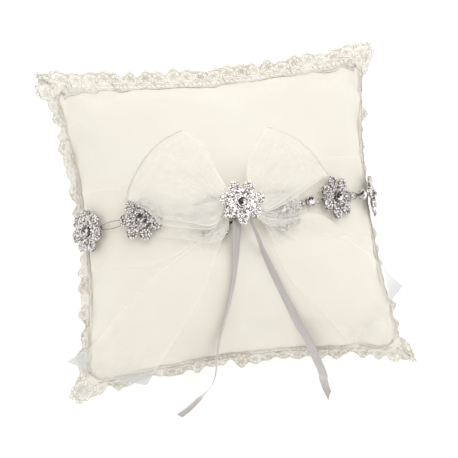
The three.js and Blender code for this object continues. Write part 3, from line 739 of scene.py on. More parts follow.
# Droop below level in degrees: everywhere, what each side adds, at a corner and at the chain.
LACE_DROOP = 26
DROOP_RIGHT, DROOP_LEFT, DROOP_TOP, DROOP_BOTTOM = 40, 28, -14, 30
LACE_DROOP_CORNER = 18
LACE_PRESSED, PRESSED_REACH = 74, 22 * MM
LACE_SWING, SWING_TOP = 17, 9
# Waves along the lace, as turns round the pillow, height and phase.
LACE_WAVES = ((19, 1.0, 1.3), (31, 0.7, 4.0), (53, 0.7, 0.0), (83, 0.6, 2.2))
# Ruffles as pitch, height and phase.
CORNER_RUFFLE = (7.4 * MM, 0.7 * MM, 0.0)
SIDE_RUFFLE = (13 * MM, 1.1 * MM, 2.0)
# Shares of the header and of the width that show.
HEADER_SHARE, HEADER_TOP, HEADER_CORNER, HEADER_WAVE = 0.30, 0.6, 0.2, 0.35
WIDER_TOP, WIDER_CORNER = 0.1, 0.85


def seam_ring(count):
    """Points on the seam with the way out of it, evenly spread along its length."""
    t = np.sin((np.linspace(0, 1, 400, endpoint=False) - 0.5) * math.pi)
    one = np.ones_like(t)
    sides = [(t, -one), (one, t), (-t, one), (-one, -t)]
    places, ways, lengthwise = [], [], []
    for number, (u, v) in enumerate(sides):
        x, y = outline(u, v)
        straight = np.stack([np.sign(u), 0 * v] if number % 2 else [0 * u, np.sign(v)], 1)
        diagonal = unit(np.stack([x, y], 1))
        turn = smooth_step((np.abs(t) - CORNER_FROM) / CORNER_SPAN)[:, None]
        places.append(np.stack([x, y], 1))
        ways.append(unit(straight * (1 - turn) + diagonal * turn))
        lengthwise.append(np.abs(t))
    place, way, corner = np.vstack(places), np.vstack(ways), np.concatenate(lengthwise)
    steps = np.linalg.norm(np.diff(np.vstack([place, place[:1]]), axis=0), axis=1)
    crowd = 1 + CORNER_CROWDING * smooth_step((corner - CORNER_FROM) / CORNER_SPAN)
    along = np.concatenate([[0], np.cumsum(steps * crowd)])
    wanted = np.linspace(0, along[-1], count, endpoint=False)
    closed = [np.vstack([a, a[:1]]) for a in (place, way)]
    spots = [np.stack([np.interp(wanted, along, a[:, k]) for k in (0, 1)], 1) for a in closed]
    corners = np.interp(wanted, along, np.append(corner, corner[0]))
    return spots[0], unit(spots[1]), corners, float(along[-1])


SEAM_COUNT = 2400
seam_place, seam_way, seam_corner, band_length = seam_ring(SEAM_COUNT)
repeat_count = int(round(band_length / REPEAT))

# The header of the band lies on the cover, so its way in from the seam is found once here.
INSETS = np.arange(0, 10.1, 0.5) * MM
inset_place = seam_place[:, None] - seam_way[:, None] * INSETS[None, :, None]
inset_height = cover_height(inset_place[..., 0], inset_place[..., 1])
inset_height[:, 0] = SEAM_Z + SEAM_EDGE_RISE
inset_steps = np.hypot(np.diff(inset_height, axis=1), np.diff(INSETS)[None])
inset_arc = np.concatenate([np.zeros((SEAM_COUNT, 1)), np.cumsum(inset_steps, axis=1)], axis=1)
print("lace band", round(band_length, 4), "m,", repeat_count, "repeats")


def ruffle_of(along, pitch, height, phase):
    return np.sin(along / pitch * 2 * math.pi + phase) * height


def lay_band(points):
    """Bend a straight band onto the seam: x is length along it, y is distance outwards."""
    share = (points[:, 0] / (repeat_count * REPEAT)) % 1.0
    spot = share * SEAM_COUNT
    low = np.floor(spot).astype(int) % SEAM_COUNT
    high, part = (low + 1) % SEAM_COUNT, (spot % 1)[:, None]
    place = seam_place[low] * (1 - part) + seam_place[high] * part
    way = unit(seam_way[low] * (1 - part) + seam_way[high] * part)
    right, left = np.maximum(way[:, 0], 0), np.maximum(-way[:, 0], 0)
    top, bottom = np.maximum(way[:, 1], 0), np.maximum(-way[:, 1], 0)
    corner = smooth_step((seam_corner[low] - 0.9) / 0.1)
    wave = sum(h * np.sin(n * 2 * math.pi * share + phase) for n, h, phase in LACE_WAVES) / 2.4
    near_chain = smooth_step(1 - np.abs(place[:, 1]) / PRESSED_REACH) * (np.abs(way[:, 0]) > 0.9)
    rest = (LACE_DROOP + DROOP_RIGHT * right + DROOP_LEFT * left + DROOP_TOP * top
            + DROOP_BOTTOM * bottom)
    rest = rest * (1 - corner) + LACE_DROOP_CORNER * corner
    swing = (LACE_SWING + SWING_TOP * top) * wave * (1 - near_chain) * (1 - 0.6 * corner)
    droop = np.radians(rest + (LACE_PRESSED - rest) * smooth_step(1.6 * near_chain) + swing)
    out = np.maximum(points[:, 1], 0) * (1 + WIDER_TOP * top + WIDER_CORNER * corner)
    raised = LACE_RAISED * np.exp(-np.abs(points[:, 1]) / RAISED_REACH)
    ruffle = (ruffle_of(points[:, 0], *CORNER_RUFFLE) * corner
              + ruffle_of(points[:, 0], *SIDE_RUFFLE) * (1 - corner)) * out / LACE_BAND
    lift = points[:, 2] + ruffle
    reach = out * np.cos(droop) + lift * np.sin(droop)
    laid = np.empty_like(points)
    start = CORNER_START * corner
    start_z = np.array([np.interp(a, INSETS, inset_height[k]) for a, k in zip(start, low)])
    laid[:, :2] = place + way * (reach - start + 0.5 * raised)[:, None]
    laid[:, 2] = start_z + raised - out * np.sin(droop) + lift * np.cos(droop)
    laid[:, 2] = np.maximum(laid[:, 2], LACE_LOWEST)
    shown = ((HEADER_SHARE + HEADER_TOP * top + HEADER_CORNER * corner)
             * (1 + HEADER_WAVE * wave * (1 - corner)))
    for k in np.flatnonzero(points[:, 1] < 0):
        arc = inset_arc[low[k]]
        back = -points[k, 1] * shown[k] + np.interp(start[k], INSETS, arc)
        inset = np.interp(back, arc, INSETS)
        off = LACE_OFF_COVER + points[k, 2] + raised[k]
        laid[k, :2] = place[k] - way[k] * (inset - OFF_OUT * off)
        laid[k, 2] = np.interp(inset, INSETS, inset_height[low[k]]) + OFF_UP * off
    return laid


repeat_drawing = repeat_object()
lace_cords = mesh_piece("lace_cords", [(0, 0, 0)], [])
run_nodes(lace_cords, lace_tree(), {
    "Repeat": repeat_drawing, "Pitch": REPEAT, "Count": repeat_count, "Thread radius": THREAD,
    "Unevenness": 0.05, "Seed": 7, "Thread": LACE_THREAD})
bpy.data.objects.remove(repeat_drawing)
flat_points = np.array([v.co[:] for v in lace_cords.data.vertices])
for vertex, place in zip(lace_cords.data.vertices, lay_band(flat_points)):
    vertex.co = place
lace_cords.data.update()
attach(lace_cords, "root")

# %% Net ground of the lace


NET_PITCH = 0.9 * MM
NET_GROUND, NET_SOLID, NET_LINE_FROM = 0.45, 0.94, 0.62


def net_ground():
    material, tree, shader = new_material("lace net", (0.90, 0.875, 0.80), 0.8)
    uv = coordinates(tree)
    solid = NET_GROUND
    for angle in (0, math.radians(60), math.radians(120)):
        line = threads(tree, scaled(tree, uv, (1, 1, 1), angle), NET_PITCH, "X")
        line = math_node(tree, "GREATER_THAN", line, NET_LINE_FROM)
        solid = math_node(tree, "MAXIMUM", line, solid)
    fill_inputs(tree, shader, {"Alpha": math_node(tree, "MULTIPLY", solid, NET_SOLID)})
    return material


NET_COLUMNS = 520
net_along = np.linspace(0, repeat_count * REPEAT, NET_COLUMNS, endpoint=False)
net_across = np.concatenate([np.linspace(-7.4, -1, 4), np.linspace(0, 8.8, 6)]) * MM
net_flat = np.stack(np.meshgrid(net_along, net_across, indexing="ij"), axis=-1)
net_level = np.zeros((*net_flat.shape[:2], 1))
net_points = lay_band(np.concatenate([net_flat, net_level], -1).reshape(-1, 3))
lace_net = grid_piece("lace_net", net_points.reshape(NET_COLUMNS, len(net_across), 3), net_flat,
                      net_ground(), closed_cols=True)
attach(lace_net, "root")
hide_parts("lace_edging")
print("lace cords:", len(lace_cords.data.polygons), "faces")

# %% [markdown]
# ## The organza sash
# A sheer band goes across the pillow under the chain. It is flat and two inches wide at the
# side seams and is drawn together under the knot. The grid below follows its course, and the
# spare cloth is laid in pleats that deepen towards the knot. The density attribute tells the
# material where the woven edge and the creases make the cloth look denser, which also raises
# its painted glow, and `shade` tells where an edge seen side on gets a painted grey shade.

# %% Courses of the chain and the sash
CHAIN_COURSE = [(-1, -1.4), (-0.64, -0.4), (-0.4, -2.9), (-0.18, -5.6), (0.05, -5.6),
                (0.28, -5.1), (0.49, -1.3), (0.7, 0.6), (0.9, 2.4), (1, 3.4)]
SASH_COURSE = [(-1, -0.6), (-0.65, -4.5), (-0.45, -7), (-0.2, -7.4), (0, -5), (0.35, -2.5),
               (0.7, 1.5), (1, 3.4)]
WAIST = HALF_WIDTH - PULL_IN_SIDES


def course_y(course, x):
    dense = curve_through(course, 400)
    return np.interp(x / WAIST, dense[:, 0], dense[:, 1]) * MM


def set_density_glow_and_shade(piece, dense, shaded=0.0):
    """Where the cloth looks denser, which also raises its painted glow, and where it gets a painted grey
    shade, each kept from 0 to 1.
    """
    for label, values in (("hem_and_glow", dense), ("shade", np.asarray(shaded) + 0 * dense)):
        attribute = piece.data.attributes.new(label, "FLOAT", "POINT")
        attribute.data.foreach_set("value", np.clip(np.ravel(values), 0, 1).astype(np.float32))


def woven_edge(t, width):
    """1 on the two woven edges of a cloth and 0 away from them."""
    return np.exp(-((1 - np.abs(2 * t - 1)) / width) ** 2)


def pleats(t, seed, count=7):
    """Uneven folds across the cloth, as a sum of a few seeded waves, within -1 and 1."""
    rng = np.random.default_rng(seed)
    total = 0
    for k in range(4):
        total = total + np.sin(2 * math.pi * (count + 2.3 * k) * t + rng.uniform(0, 6.28)) / (1 + 0.6 * k)
    return total / 2.4


# %% Sash
SASH_COLUMNS, SASH_ROWS = 150, 61
SASH_LIFT = 0.75 * MM
SASH_WIDTH = 50.8 * MM
SASH_FOLD = 0.5 * MM
# Half widths and the stretch over which the sash opens out from the knot, in millimetres.
GATHERED_HALF, OPENED_HALF = 5, 20.4
OPENS_FROM, OPENS_OVER = 8, 54
sash_u = np.sin(np.linspace(-0.5, 0.5, SASH_COLUMNS) * math.pi) * 0.988
sash_t = np.linspace(0, 1, SASH_ROWS)
u_grid, t_grid = np.meshgrid(sash_u, sash_t, indexing="ij")
sash_x = u_grid * WAIST
opened = smooth_step((np.abs(sash_x) / MM - OPENS_FROM) / OPENS_OVER)
half_width = (GATHERED_HALF + OPENED_HALF * opened) * MM
sash_y = course_y(SASH_COURSE, sash_x) + (2 * t_grid - 1) * half_width
fold = pleats(t_grid, 11) * (1 - 0.82 * opened)
sash_z = cover_height(sash_x, sash_y) + SASH_LIFT + SASH_FOLD * fold
sash_points = np.stack([sash_x, sash_y, sash_z], -1)
sash_points[..., :2] *= 1 + 0.006 * smooth_step((np.abs(u_grid[..., None]) - 0.9) / 0.09)
sash_uv = np.stack([sash_x * 1.15, t_grid * SASH_WIDTH], -1)
sash = grid_piece("organza_band", sash_points, sash_uv, ORGANZA_SASH)
edge = woven_edge(t_grid, 0.035)
set_density_glow_and_shade(sash, 0.55 * edge + 0.35 * np.clip(fold, 0, 1) * (1 - opened) + 0.04)
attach(sash, "root")
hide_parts("organza_sash")

# %% [markdown]
# ## The bow
# The same organza makes a bow: two loops that stand above the knot like ears, and two long
# tails that spread to the lower corners. A loop is one strip that goes out, folds over and
# comes back, so its mesh runs out along the lower layer and returns along the upper one. Each
# layer is a patch between a short root at the knot, two sides and an outer edge.

# %% Patches and heights for the bow
KNOT_RADIUS = 8.5
KNOT_Y = -1
CHAIN_LIFT, STONE_TOP = 3.35, 3.9
TAIL_ROOT_LIFT = 7.85 * MM
LOOP_ROOT_LIFT = 9.85 * MM
BOW_CLEAR, CHAIN_CLEAR = 1.6, 1.2
STEEPEST = 1.8
# Distances in millimetres over which the cloth comes down from the chain and from the knot.
CHAIN_EDGE, CHAIN_SLOPE, KNOT_SLOPE = 8, 14, 26


def steepness(x, y):
    step = 1 * MM
    slope_x = cover_rule(x + step, y) - cover_rule(x - step, y)
    slope_y = cover_rule(x, y + step) - cover_rule(x, y - step)
    return np.minimum(np.hypot(np.hypot(slope_x, slope_y) / (2 * step), 1), STEEPEST)


def hover(x, y, root_lift):
    beside = np.abs(y - course_y(CHAIN_COURSE, np.clip(x, -WAIST, WAIST))) / MM
    over_chain = CHAIN_LIFT + STONE_TOP + CHAIN_CLEAR - BOW_CLEAR
    raised = over_chain * smooth_step(1 - (beside - CHAIN_EDGE) / CHAIN_SLOPE)
    low = (BOW_CLEAR + raised) * MM * steepness(x, y)
    from_knot = np.hypot(x, y - KNOT_Y * MM) / MM - KNOT_RADIUS
    near = smooth_step(1 - from_knot / KNOT_SLOPE)
    return low * (1 - near) + root_lift * near


def patch(root, outer, side_a, side_b, s, t):
    """x and y at shares s outwards and t across, between four edges given in millimetres."""
    def at(points, share):
        dense = curve_through(points, 300)
        spot = np.linspace(0, 1, 300)
        return np.stack([np.interp(share, spot, dense[:, k]) for k in (0, 1)], -1)
    root_at, outer_at = at(root, t), at(outer, t)
    a_at, b_at = at([root[0], *side_a, outer[0]], s), at([root[-1], *side_b, outer[-1]], s)
    s, t = s[..., None], t[..., None]
    corner = ((1 - s) * (1 - t) * np.array(root[0]) + (1 - s) * t * np.array(root[-1])
              + s * (1 - t) * np.array(outer[0]) + s * t * np.array(outer[-1]))
    plan = ((1 - s) * root_at + s * outer_at + (1 - t) * a_at + t * b_at - corner) * MM
    return plan[..., 0], plan[..., 1]


def knot_root(degrees, half):
    a = math.radians(degrees)
    x, y = (KNOT_RADIUS + 0.4) * math.cos(a), KNOT_Y + (KNOT_RADIUS + 0.4) * math.sin(a)
    return [(x + side * half * math.sin(a), y - side * half * math.cos(a)) for side in (1, -1)]


# %% Loops
LOOP_ACROSS, LOOP_OUT = 49, 44
LOOP_PUFF = 5 * MM
LOOP_OFF_COVER = 1.2 * MM
LOOP_GATHER, LOOP_RIPPLE = 0.4 * MM, 0.5 * MM
LAYERS_APART = 0.35 * MM
UPPER_INSET = 0.07


def bow_loop(name, body, edges, seed, flat, shaded_side):
    """The last argument is the side, t of 0 or 1, where the fold is seen side on and gets a painted grey
    shade.
    """
    way = np.concatenate([np.linspace(0, 1, LOOP_OUT), np.linspace(1, 0, LOOP_OUT)[1:]])
    upper = np.concatenate([np.zeros(LOOP_OUT), np.ones(LOOP_OUT - 1)])
    t = np.linspace(0, 1, LOOP_ACROSS)
    s_grid, t_grid = np.meshgrid(way, t, indexing="ij")
    up_grid = np.repeat(upper[:, None], LOOP_ACROSS, 1)
    # The upper layer's woven edges lie a little inside the lower layer's.
    shrink = UPPER_INSET * up_grid * np.sin(math.pi * np.clip(s_grid, 0, 1)) ** 0.7
    x, y = patch(*edges, s_grid, shrink + t_grid * (1 - 1.6 * shrink))
    base = np.maximum(cover_rule(x, y) + hover(x, y, LOOP_ROOT_LIFT), cover_height(x, y) + LOOP_OFF_COVER)
    puff = LOOP_PUFF * np.sin(math.pi * np.clip(s_grid, 0, 1) ** 1.3) * np.sin(math.pi * t_grid) ** 0.7
    layer = np.where(up_grid > 0, LAYERS_APART + 0.9 * puff, 0.05 * puff)
    gather = pleats(t_grid, seed, 5) * (1 - s_grid) ** 1.1 * LOOP_GATHER
    gather += pleats(t_grid + 0.15 * s_grid, seed + 5, 2) * np.sin(math.pi * s_grid) * LOOP_RIPPLE
    z = base + layer + np.where(up_grid > 0, gather, 0.5 * np.abs(gather))
    points = np.stack([x, y, z], -1)
    steps = np.linalg.norm(np.diff(points[:, LOOP_ACROSS // 2], axis=0), axis=1)
    along = np.concatenate([[0], np.cumsum(steps)])
    uv = np.stack([np.repeat(along[:, None], LOOP_ACROSS, 1), t_grid * flat[1]], -1)
    made = grid_piece(name, points, uv, ORGANZA_BOW)
    edge = woven_edge(t_grid, 0.03)
    fold = np.exp(-((1 - s_grid) / 0.02) ** 2)
    crease = np.clip(pleats(t_grid, seed, 5), 0, 1) ** 2 * (1 - s_grid) ** 1.5
    # Painted grey shade along the fold, on the side where it is seen side on.
    rim_shade = fold * smooth_step(np.abs(t_grid - (1 - shaded_side)) * 1.6)
    dense = 0.5 * edge + 0.4 * fold + 0.3 * crease + 0.6 * (1 - s_grid) ** 2
    set_density_glow_and_shade(made, dense, 0.3 * rim_shade)
    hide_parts(body)
    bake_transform(made)


LEFT_LOOP_EDGES = (
    knot_root(150, 3)[::-1],
    [(-67, 13), (-64.6, 20.7), (-58.7, 30.4), (-50.1, 40.6), (-40, 47.7), (-28, 52.5)],
    [(-18, -12.6), (-32.3, -11.2), (-48.5, -6.6), (-55, 1.5)],
    [(-10.4, 21), (-14.3, 34.5), (-20, 45.3)],
)
RIGHT_LOOP_EDGES = (
    knot_root(32, 3),
    [(60, 14.5), (58.5, 20), (54.6, 26.8), (50, 32.6), (43.8, 39), (34.8, 44.6), (26, 48.7)],
    [(14, -6), (26, -3.5), (38, 2.6), (50, 9.4)],
    [(6.7, 20), (11.5, 31.7), (19.8, 42.4)],
)
bow_loop("bow_ear_left", "bow_loop_left", LEFT_LOOP_EDGES, 3, (0.13, 0.05), 1)
bow_loop("bow_ear_right", "bow_loop_right", RIGHT_LOOP_EDGES, 5, (0.118, 0.047), 0)

# %% Tails
TAIL_ACROSS, TAIL_OUT = 57, 84
TAIL_OFF_COVER = 0.9 * MM
TAIL_GATHER, TAIL_RIPPLE = 0.6 * MM, 0.7 * MM
PAST_SEAM_FROM, PAST_SEAM_OVER = 0.985, 0.05


def bow_tail(name, body, edges, seed, flat):
    s_grid, t_grid = np.meshgrid(np.linspace(0, 1, TAIL_OUT), np.linspace(0, 1, TAIL_ACROSS),
                                 indexing="ij")
    x, y = patch(*edges, s_grid, t_grid)
    gather = pleats(t_grid, seed, 5) * (1 - s_grid) ** 1.3 * TAIL_GATHER
    drift = pleats(t_grid * 0.8 + 0.1 * s_grid, seed + 9, 2) * smooth_step(s_grid * 3) * TAIL_RIPPLE
    z = cover_rule(x, y) + hover(x, y, TAIL_ROOT_LIFT) + gather + drift
    z = np.maximum(z, cover_height(x, y) + TAIL_OFF_COVER)
    points = np.stack([x, y, z], -1)
    uv = np.stack([s_grid * flat[0], t_grid * flat[1]], -1)
    made = grid_piece(name, points, uv, ORGANZA_BOW)
    edge = woven_edge(t_grid, 0.025)
    cut = smooth_step((s_grid - 0.9) / 0.1)
    crease = np.clip(pleats(t_grid, seed, 5), 0, 1) ** 2 * (1 - s_grid) ** 1.3
    u, v = shares(x, y)
    past = smooth_step((np.maximum(np.abs(u), np.abs(v)) - PAST_SEAM_FROM) / PAST_SEAM_OVER)
    dense = 0.4 * edge + 0.4 * cut + 0.3 * crease + 0.68 * past + 0.5 * (1 - s_grid) ** 4
    # Painted grey shade on the cut end and where the tail hangs past the seam.
    set_density_glow_and_shade(made, dense, 0.5 * cut + past)
    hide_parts(body)
    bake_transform(made)


LEFT_TAIL_EDGES = (
    knot_root(205, 2.6),
    [(-113.4, -80.2), (-90, -92.6), (-65.2, -101)],
    [(-19, -13.6), (-36.3, -24.4), (-65.1, -43.2), (-94.2, -70.4)],
    [(-13, -19.5), (-26.3, -48.5), (-41.8, -70.4)],
)
RIGHT_TAIL_EDGES = (
    knot_root(-28, 2.6)[::-1],
    [(108.4, -57.2), (90, -74), (67.2, -91.1)],
    [(14, -9.4), (28, -12), (45, -9.4), (59.5, -15.6), (74.7, -28.2), (93.5, -42)],
    [(13.5, -15.5), (24.3, -42), (33.3, -54.9), (49.3, -71.4)],
)
bow_tail("bow_streamer_left", "bow_tail_left", LEFT_TAIL_EDGES, 21, (0.13, 0.0445))
bow_tail("bow_streamer_right", "bow_tail_right", RIGHT_TAIL_EDGES, 23, (0.12, 0.0445))

# %% [markdown]
# ## The wraps beside the knot
# Before it is knotted, the band's cloth is brought forward over the middle of the chain. Two
# short gathered wraps lie there over the nearest flowers, which show through them faintly.
# They are patches like the tails, a little lower, and they stay with the pillow.

# %% Wraps
WRAP_LIFT = TAIL_ROOT_LIFT - 0.3 * MM
WRAP_LOWERED, WRAP_FOLD = 0.5 * MM, 0.25 * MM
WRAP_END_LIFT = 2.2 * MM
WRAP_DENSEST = 0.97


def band_wrap(name, edges, seed, flat):
    s_grid, t_grid = np.meshgrid(np.linspace(0, 1, 40), np.linspace(0, 1, 45), indexing="ij")
    x, y = patch(*edges, s_grid, t_grid)
    folds = np.abs(pleats(t_grid, seed, 3)) * (1 - 0.5 * s_grid)
    down = smooth_step((s_grid - 0.72) / 0.28)
    z = cover_rule(x, y) + hover(x, y, WRAP_LIFT) - WRAP_LOWERED * (1 - down) + WRAP_FOLD * folds
    z = z * (1 - down) + (cover_height(x, y) + WRAP_END_LIFT) * down
    made = grid_piece(name, np.stack([x, y, z], -1),
                      np.stack([s_grid * flat[0], t_grid * flat[1]], -1), ORGANZA_BOW)
    edge = woven_edge(t_grid, 0.05)
    # The density near the knot is raised, which also whitens the wraps with painted glow.
    set_density_glow_and_shade(made, np.minimum(0.35 * edge + 0.6 * (folds + 1) * (1 - s_grid), WRAP_DENSEST))
    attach(made, "root")


LEFT_WRAP_EDGES = (
    [(-8.2, -11.5), (-9.4, 4)],
    [(-52, -12.5), (-52.5, -4)],
    [(-13, -19.6), (-22, -21), (-34, -17.6)],
    [(-20, 3), (-35, 1)],
)
RIGHT_WRAP_EDGES = (
    [(9.2, -9.5), (9.4, 4)],
    [(43, -7.5), (43, 1)],
    [(18, -15.5), (31, -14)],
    [(20, 4), (32, 3.5)],
)
band_wrap("organza_wrap_left", LEFT_WRAP_EDGES, 41, (0.045, 0.018))
band_wrap("organza_wrap_right", RIGHT_WRAP_EDGES, 43, (0.036, 0.018))

# %% [markdown]
# ## The knot
# The middle of the bow is the same cloth wrapped tightly over itself. It is a flattened ball
# whose surface is raised into pleats that run over it from the front to the back.

# %% Knot
knot_low, knot_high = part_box("bow_knot")
knot_middle = (knot_low + knot_high) / 2
knot_half = (knot_high - knot_low) / 2
KNOT_ROUND, KNOT_LEVELS = 72, 25
lat, lon = np.meshgrid(np.linspace(-math.pi / 2, math.pi / 2, KNOT_LEVELS),
                       np.linspace(0, 2 * math.pi, KNOT_ROUND, endpoint=False))
ring_size = np.cos(lat) ** 0.6
knot_table = np.stack([ring_size * np.cos(lon), ring_size * np.sin(lon),
                       np.sin(lat)], -1)
wrap = pleats(knot_table[..., 0] * 0.5 + 0.08 * knot_table[..., 1], 31, 4)
knot_table *= (0.95 + 0.045 * wrap * np.cos(lat) ** 0.5)[..., None]
knot_table = knot_table * np.array(knot_half[:]) + np.array(knot_middle[:])
knot = grid_piece("organza_knot", knot_table, np.stack([lon * knot_half.x, lat * knot_half.x], -1),
                  ORGANZA_KNOT, closed_cols=True)
set_density_glow_and_shade(knot, np.clip(wrap, 0, 1) * 0.5)
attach(knot, "root")
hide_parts("bow_knot")

# %% [markdown]
# ## The jewels
# Each flower is a cast setting with seven looped petals. The CAD model has the settings, the
# cups and the wire links, so they only take a plated finish here, with painted dark
# reflections. The stones are cut in code: a table, star facets, main facets and a girdle.
# Every facet has its own `facet` value, which the crystal material turns into painted light
# and dark reflections, as a foil-backed stone shows.

# %% Cut stones


def set_facets(stone, values):
    values = np.clip(values, 0, 1).astype(np.float32)
    stone.data.attributes["facet"].data.foreach_set("value", values)


def cut_stone(name, girdle, height, facets, seed, material):
    rings = [(0.0, facets, girdle), (0.30 * height, facets, girdle),
             (0.72 * height, facets // 2, 0.86 * girdle), (height, facets // 2, 0.58 * girdle)]
    points, starts = [], []
    for level, (z, count, radius) in enumerate(rings):
        starts.append(len(points))
        shift = 0.5 if level == 3 else 0.0
        for k in range(count):
            a = 2 * math.pi * (k + shift) / count
            points.append((radius * math.cos(a), radius * math.sin(a), z))
    mains = facets // 2
    faces = [tuple(range(facets))[::-1]]
    for k in range(facets):
        n = (k + 1) % facets
        faces.append((k, n, starts[1] + n, starts[1] + k))
    peak = len(points)
    for k in range(mains):
        n = (k + 1) % mains
        a, b, c = [starts[1] + (2 * k + step) % facets for step in range(3)]
        here, there, top, next_top = starts[2] + k, starts[2] + n, starts[3] + k, starts[3] + n
        faces += [(a, b, here), (b, c, there), (b, there, here)]
        faces += [(here, there, top), (there, next_top, top)]
    faces += [(starts[3] + k, starts[3] + (k + 1) % mains, peak) for k in range(mains)]
    points.append((0, 0, height * 1.05))
    made = mesh_piece(name, points, faces, material, smooth=False)
    # Painted reflections: the facets on one side are painted dark, with a seeded spread.
    rng = np.random.default_rng(seed)
    painted_dark_turn = rng.uniform(0, 2 * math.pi)
    values = []
    for face in made.data.polygons:
        around = math.atan2(face.center.y, face.center.x) - painted_dark_turn
        values.append(0.5 - 0.42 * math.cos(around) + rng.uniform(-0.3, 0.3))
    made.data.attributes.new("facet", "FLOAT", "FACE")
    set_facets(made, values)
    return made


def node_points(name):
    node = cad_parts[name]
    return node, np.array([v.co[:] for v in node.data.vertices])


def stone_frame(crystal):
    """Middle of the table facet and the way it looks, from the CAD stone's largest flat."""
    node, points = node_points(crystal)
    totals = {}
    for face in node.data.polygons:
        key = tuple(round(v, 2) for v in face.normal)
        found = totals.setdefault(key, [0.0, np.zeros(3), np.zeros(3)])
        found[0] += face.area
        found[1] += np.array(face.center[:]) * face.area
        found[2] += np.array(face.normal[:]) * face.area
    flats = sorted(totals.values(), key=lambda f: -f[0])[:2]
    up_most = max(flats, key=lambda f: f[2][2])
    return up_most[1] / up_most[0], unit(up_most[2]), points


print("table of the brooch stone:", [round(float(v), 4) for v in stone_frame("brooch_crystal")[0]])

# %% Replace the crystals with cut stones
FLOWERS = [name[15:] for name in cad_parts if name.startswith("flower_setting_")]
STONE_RADIUS = 2.75 * MM
STONE_HEIGHT = 2.7 * MM
STONE_SUNK = 2.6 * MM
CUP_STONE_RADIUS = 2.65 * MM
# The way to the side whose facets are painted dark, as a painted reflection.
PAINTED_DARK_SIDE = (-0.7, 0.7, 0.0)


def turned_to(way, spin=0.0):
    turn = Vector((0, 0, 1)).rotation_difference(Vector(way))
    return turn.to_matrix().to_4x4() @ Matrix.Rotation(spin, 4, "Z")


def replace_crystal(crystal, body, radius, facets, seed):
    table, way, _ = stone_frame(crystal)
    stone = cut_stone("cut_" + crystal, radius, STONE_HEIGHT, facets, seed, BIG_CRYSTAL)
    foot = table - way * STONE_SUNK
    stone.data.transform(Matrix.Translation(Vector(foot)) @ turned_to(way, 0.4 * seed))
    rng = np.random.default_rng(seed)
    # Painted reflections: facets turned to the painted dark side are painted dark.
    toward_painted_dark = np.array(PAINTED_DARK_SIDE) + rng.uniform(-0.5, 0.5, 3)
    values = []
    for face in stone.data.polygons:
        aside = unit(np.array(face.center[:]) - foot - way * STONE_HEIGHT / 2)
        values.append(0.5 - 0.55 * float(aside @ unit(toward_painted_dark)) + rng.uniform(-0.28, 0.28))
    set_facets(stone, values)
    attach(stone, body)
    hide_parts(crystal)
    return table, way


flower_frames = {}
for number, label in enumerate(FLOWERS):
    flower_frames["flower_setting_" + label] = replace_crystal(
        "flower_crystal_" + label, "root", STONE_RADIUS, 16, 3 + number)
flower_frames["brooch_setting"] = replace_crystal("brooch_crystal", "root", STONE_RADIUS, 16, 2)
for number in range(1, 5):
    replace_crystal(f"cup_crystal_{number}", f"crystal_{number}", CUP_STONE_RADIUS, 16, 20 + number)
print(len(flower_frames), "flowers and 4 cups have cut stones")

# %% [markdown]
# ## Pavé stones in the petals
# Each petal carries a ring of tiny stones with metal beads between them and three stones in
# its middle, and one more ring sits round the centre stone. Geometry Nodes put a stone on
# every point of a point cloud, each with its own seeded spin, turned to the flower's face by
# the `facing` attribute.

# %% A tree that sets stones on points


def setting_tree():
    tree, given, result = node_tree("set on points", {
        "Shape": "Object", "Size": "Float", "Size spread": "Float", "Seed": "Int",
        "Finish": "Material"})
    facing = add_node(tree, "GeometryNodeInputNamedAttribute", {"Name": "facing"},
                      data_type="FLOAT_VECTOR")
    spin = add_node(tree, "FunctionNodeRandomValue", {3: 6.283, "Seed": given["Seed"]},
                    data_type="FLOAT")
    around = add_node(tree, "ShaderNodeCombineXYZ", {"Z": spin.outputs[1]})
    info = add_node(tree, "GeometryNodeObjectInfo", {"Object": given["Shape"]})
    smallest = math_node(tree, "SUBTRACT", given["Size"], given["Size spread"])
    size = add_node(tree, "FunctionNodeRandomValue", {
        2: smallest, 3: given["Size"], "Seed": given["Seed"]}, data_type="FLOAT")
    place = add_node(tree, "GeometryNodeInstanceOnPoints", {
        "Points": given["Geometry"], "Instance": info.outputs["Geometry"],
        "Rotation": facing.outputs["Attribute"], "Scale": size.outputs[1]})
    turned = add_node(tree, "GeometryNodeRotateInstances", {
        "Instances": place.outputs[0], "Rotation": around.outputs[0]})
    real = add_node(tree, "GeometryNodeRealizeInstances", {0: turned.outputs[0]})
    paint = add_node(tree, "GeometryNodeSetMaterial", {
        "Geometry": real.outputs[0], "Material": given["Finish"]})
    fill_inputs(tree, result, {0: paint.outputs[0]})
    return tree


SET_ON_POINTS = setting_tree()


def points_piece(name, points, ways):
    made = mesh_piece(name, points, [])
    facing = made.data.attributes.new("facing", "FLOAT_VECTOR", "POINT")
    turns = [turned_to(w).to_euler() for w in ways]
    facing.data.foreach_set("vector", np.array([t[:] for t in turns], dtype=np.float32).ravel())
    return made


# %% Places of the petal stones
PETALS = 7
PETAL_RING = 10.2 * MM
PETAL_STONE_RING = 2.72 * MM
TIP_RING = (13.2 * MM, 14.3 * MM)
PLATE_TOP = 1.0 * MM
COLLAR_RING = 4.75 * MM
STONES_IN_PETAL = 10
STONES_ROUND_HEART = 15
STONES_IN_HEART, HEART_SHIFT = 3, 0.51
HEART_RING, HEART_SUNK = 0.95 * MM, 0.4 * MM


def turned_pair(first, second, angle):
    cos, sin = math.cos(angle), math.sin(angle)
    return first * cos + second * sin, -first * sin + second * cos


def ring_spots(centre, axes, radius, count, shift):
    return [centre + turned_pair(*axes, 2 * math.pi * (k + shift) / count)[0] * radius
            for k in range(count)]


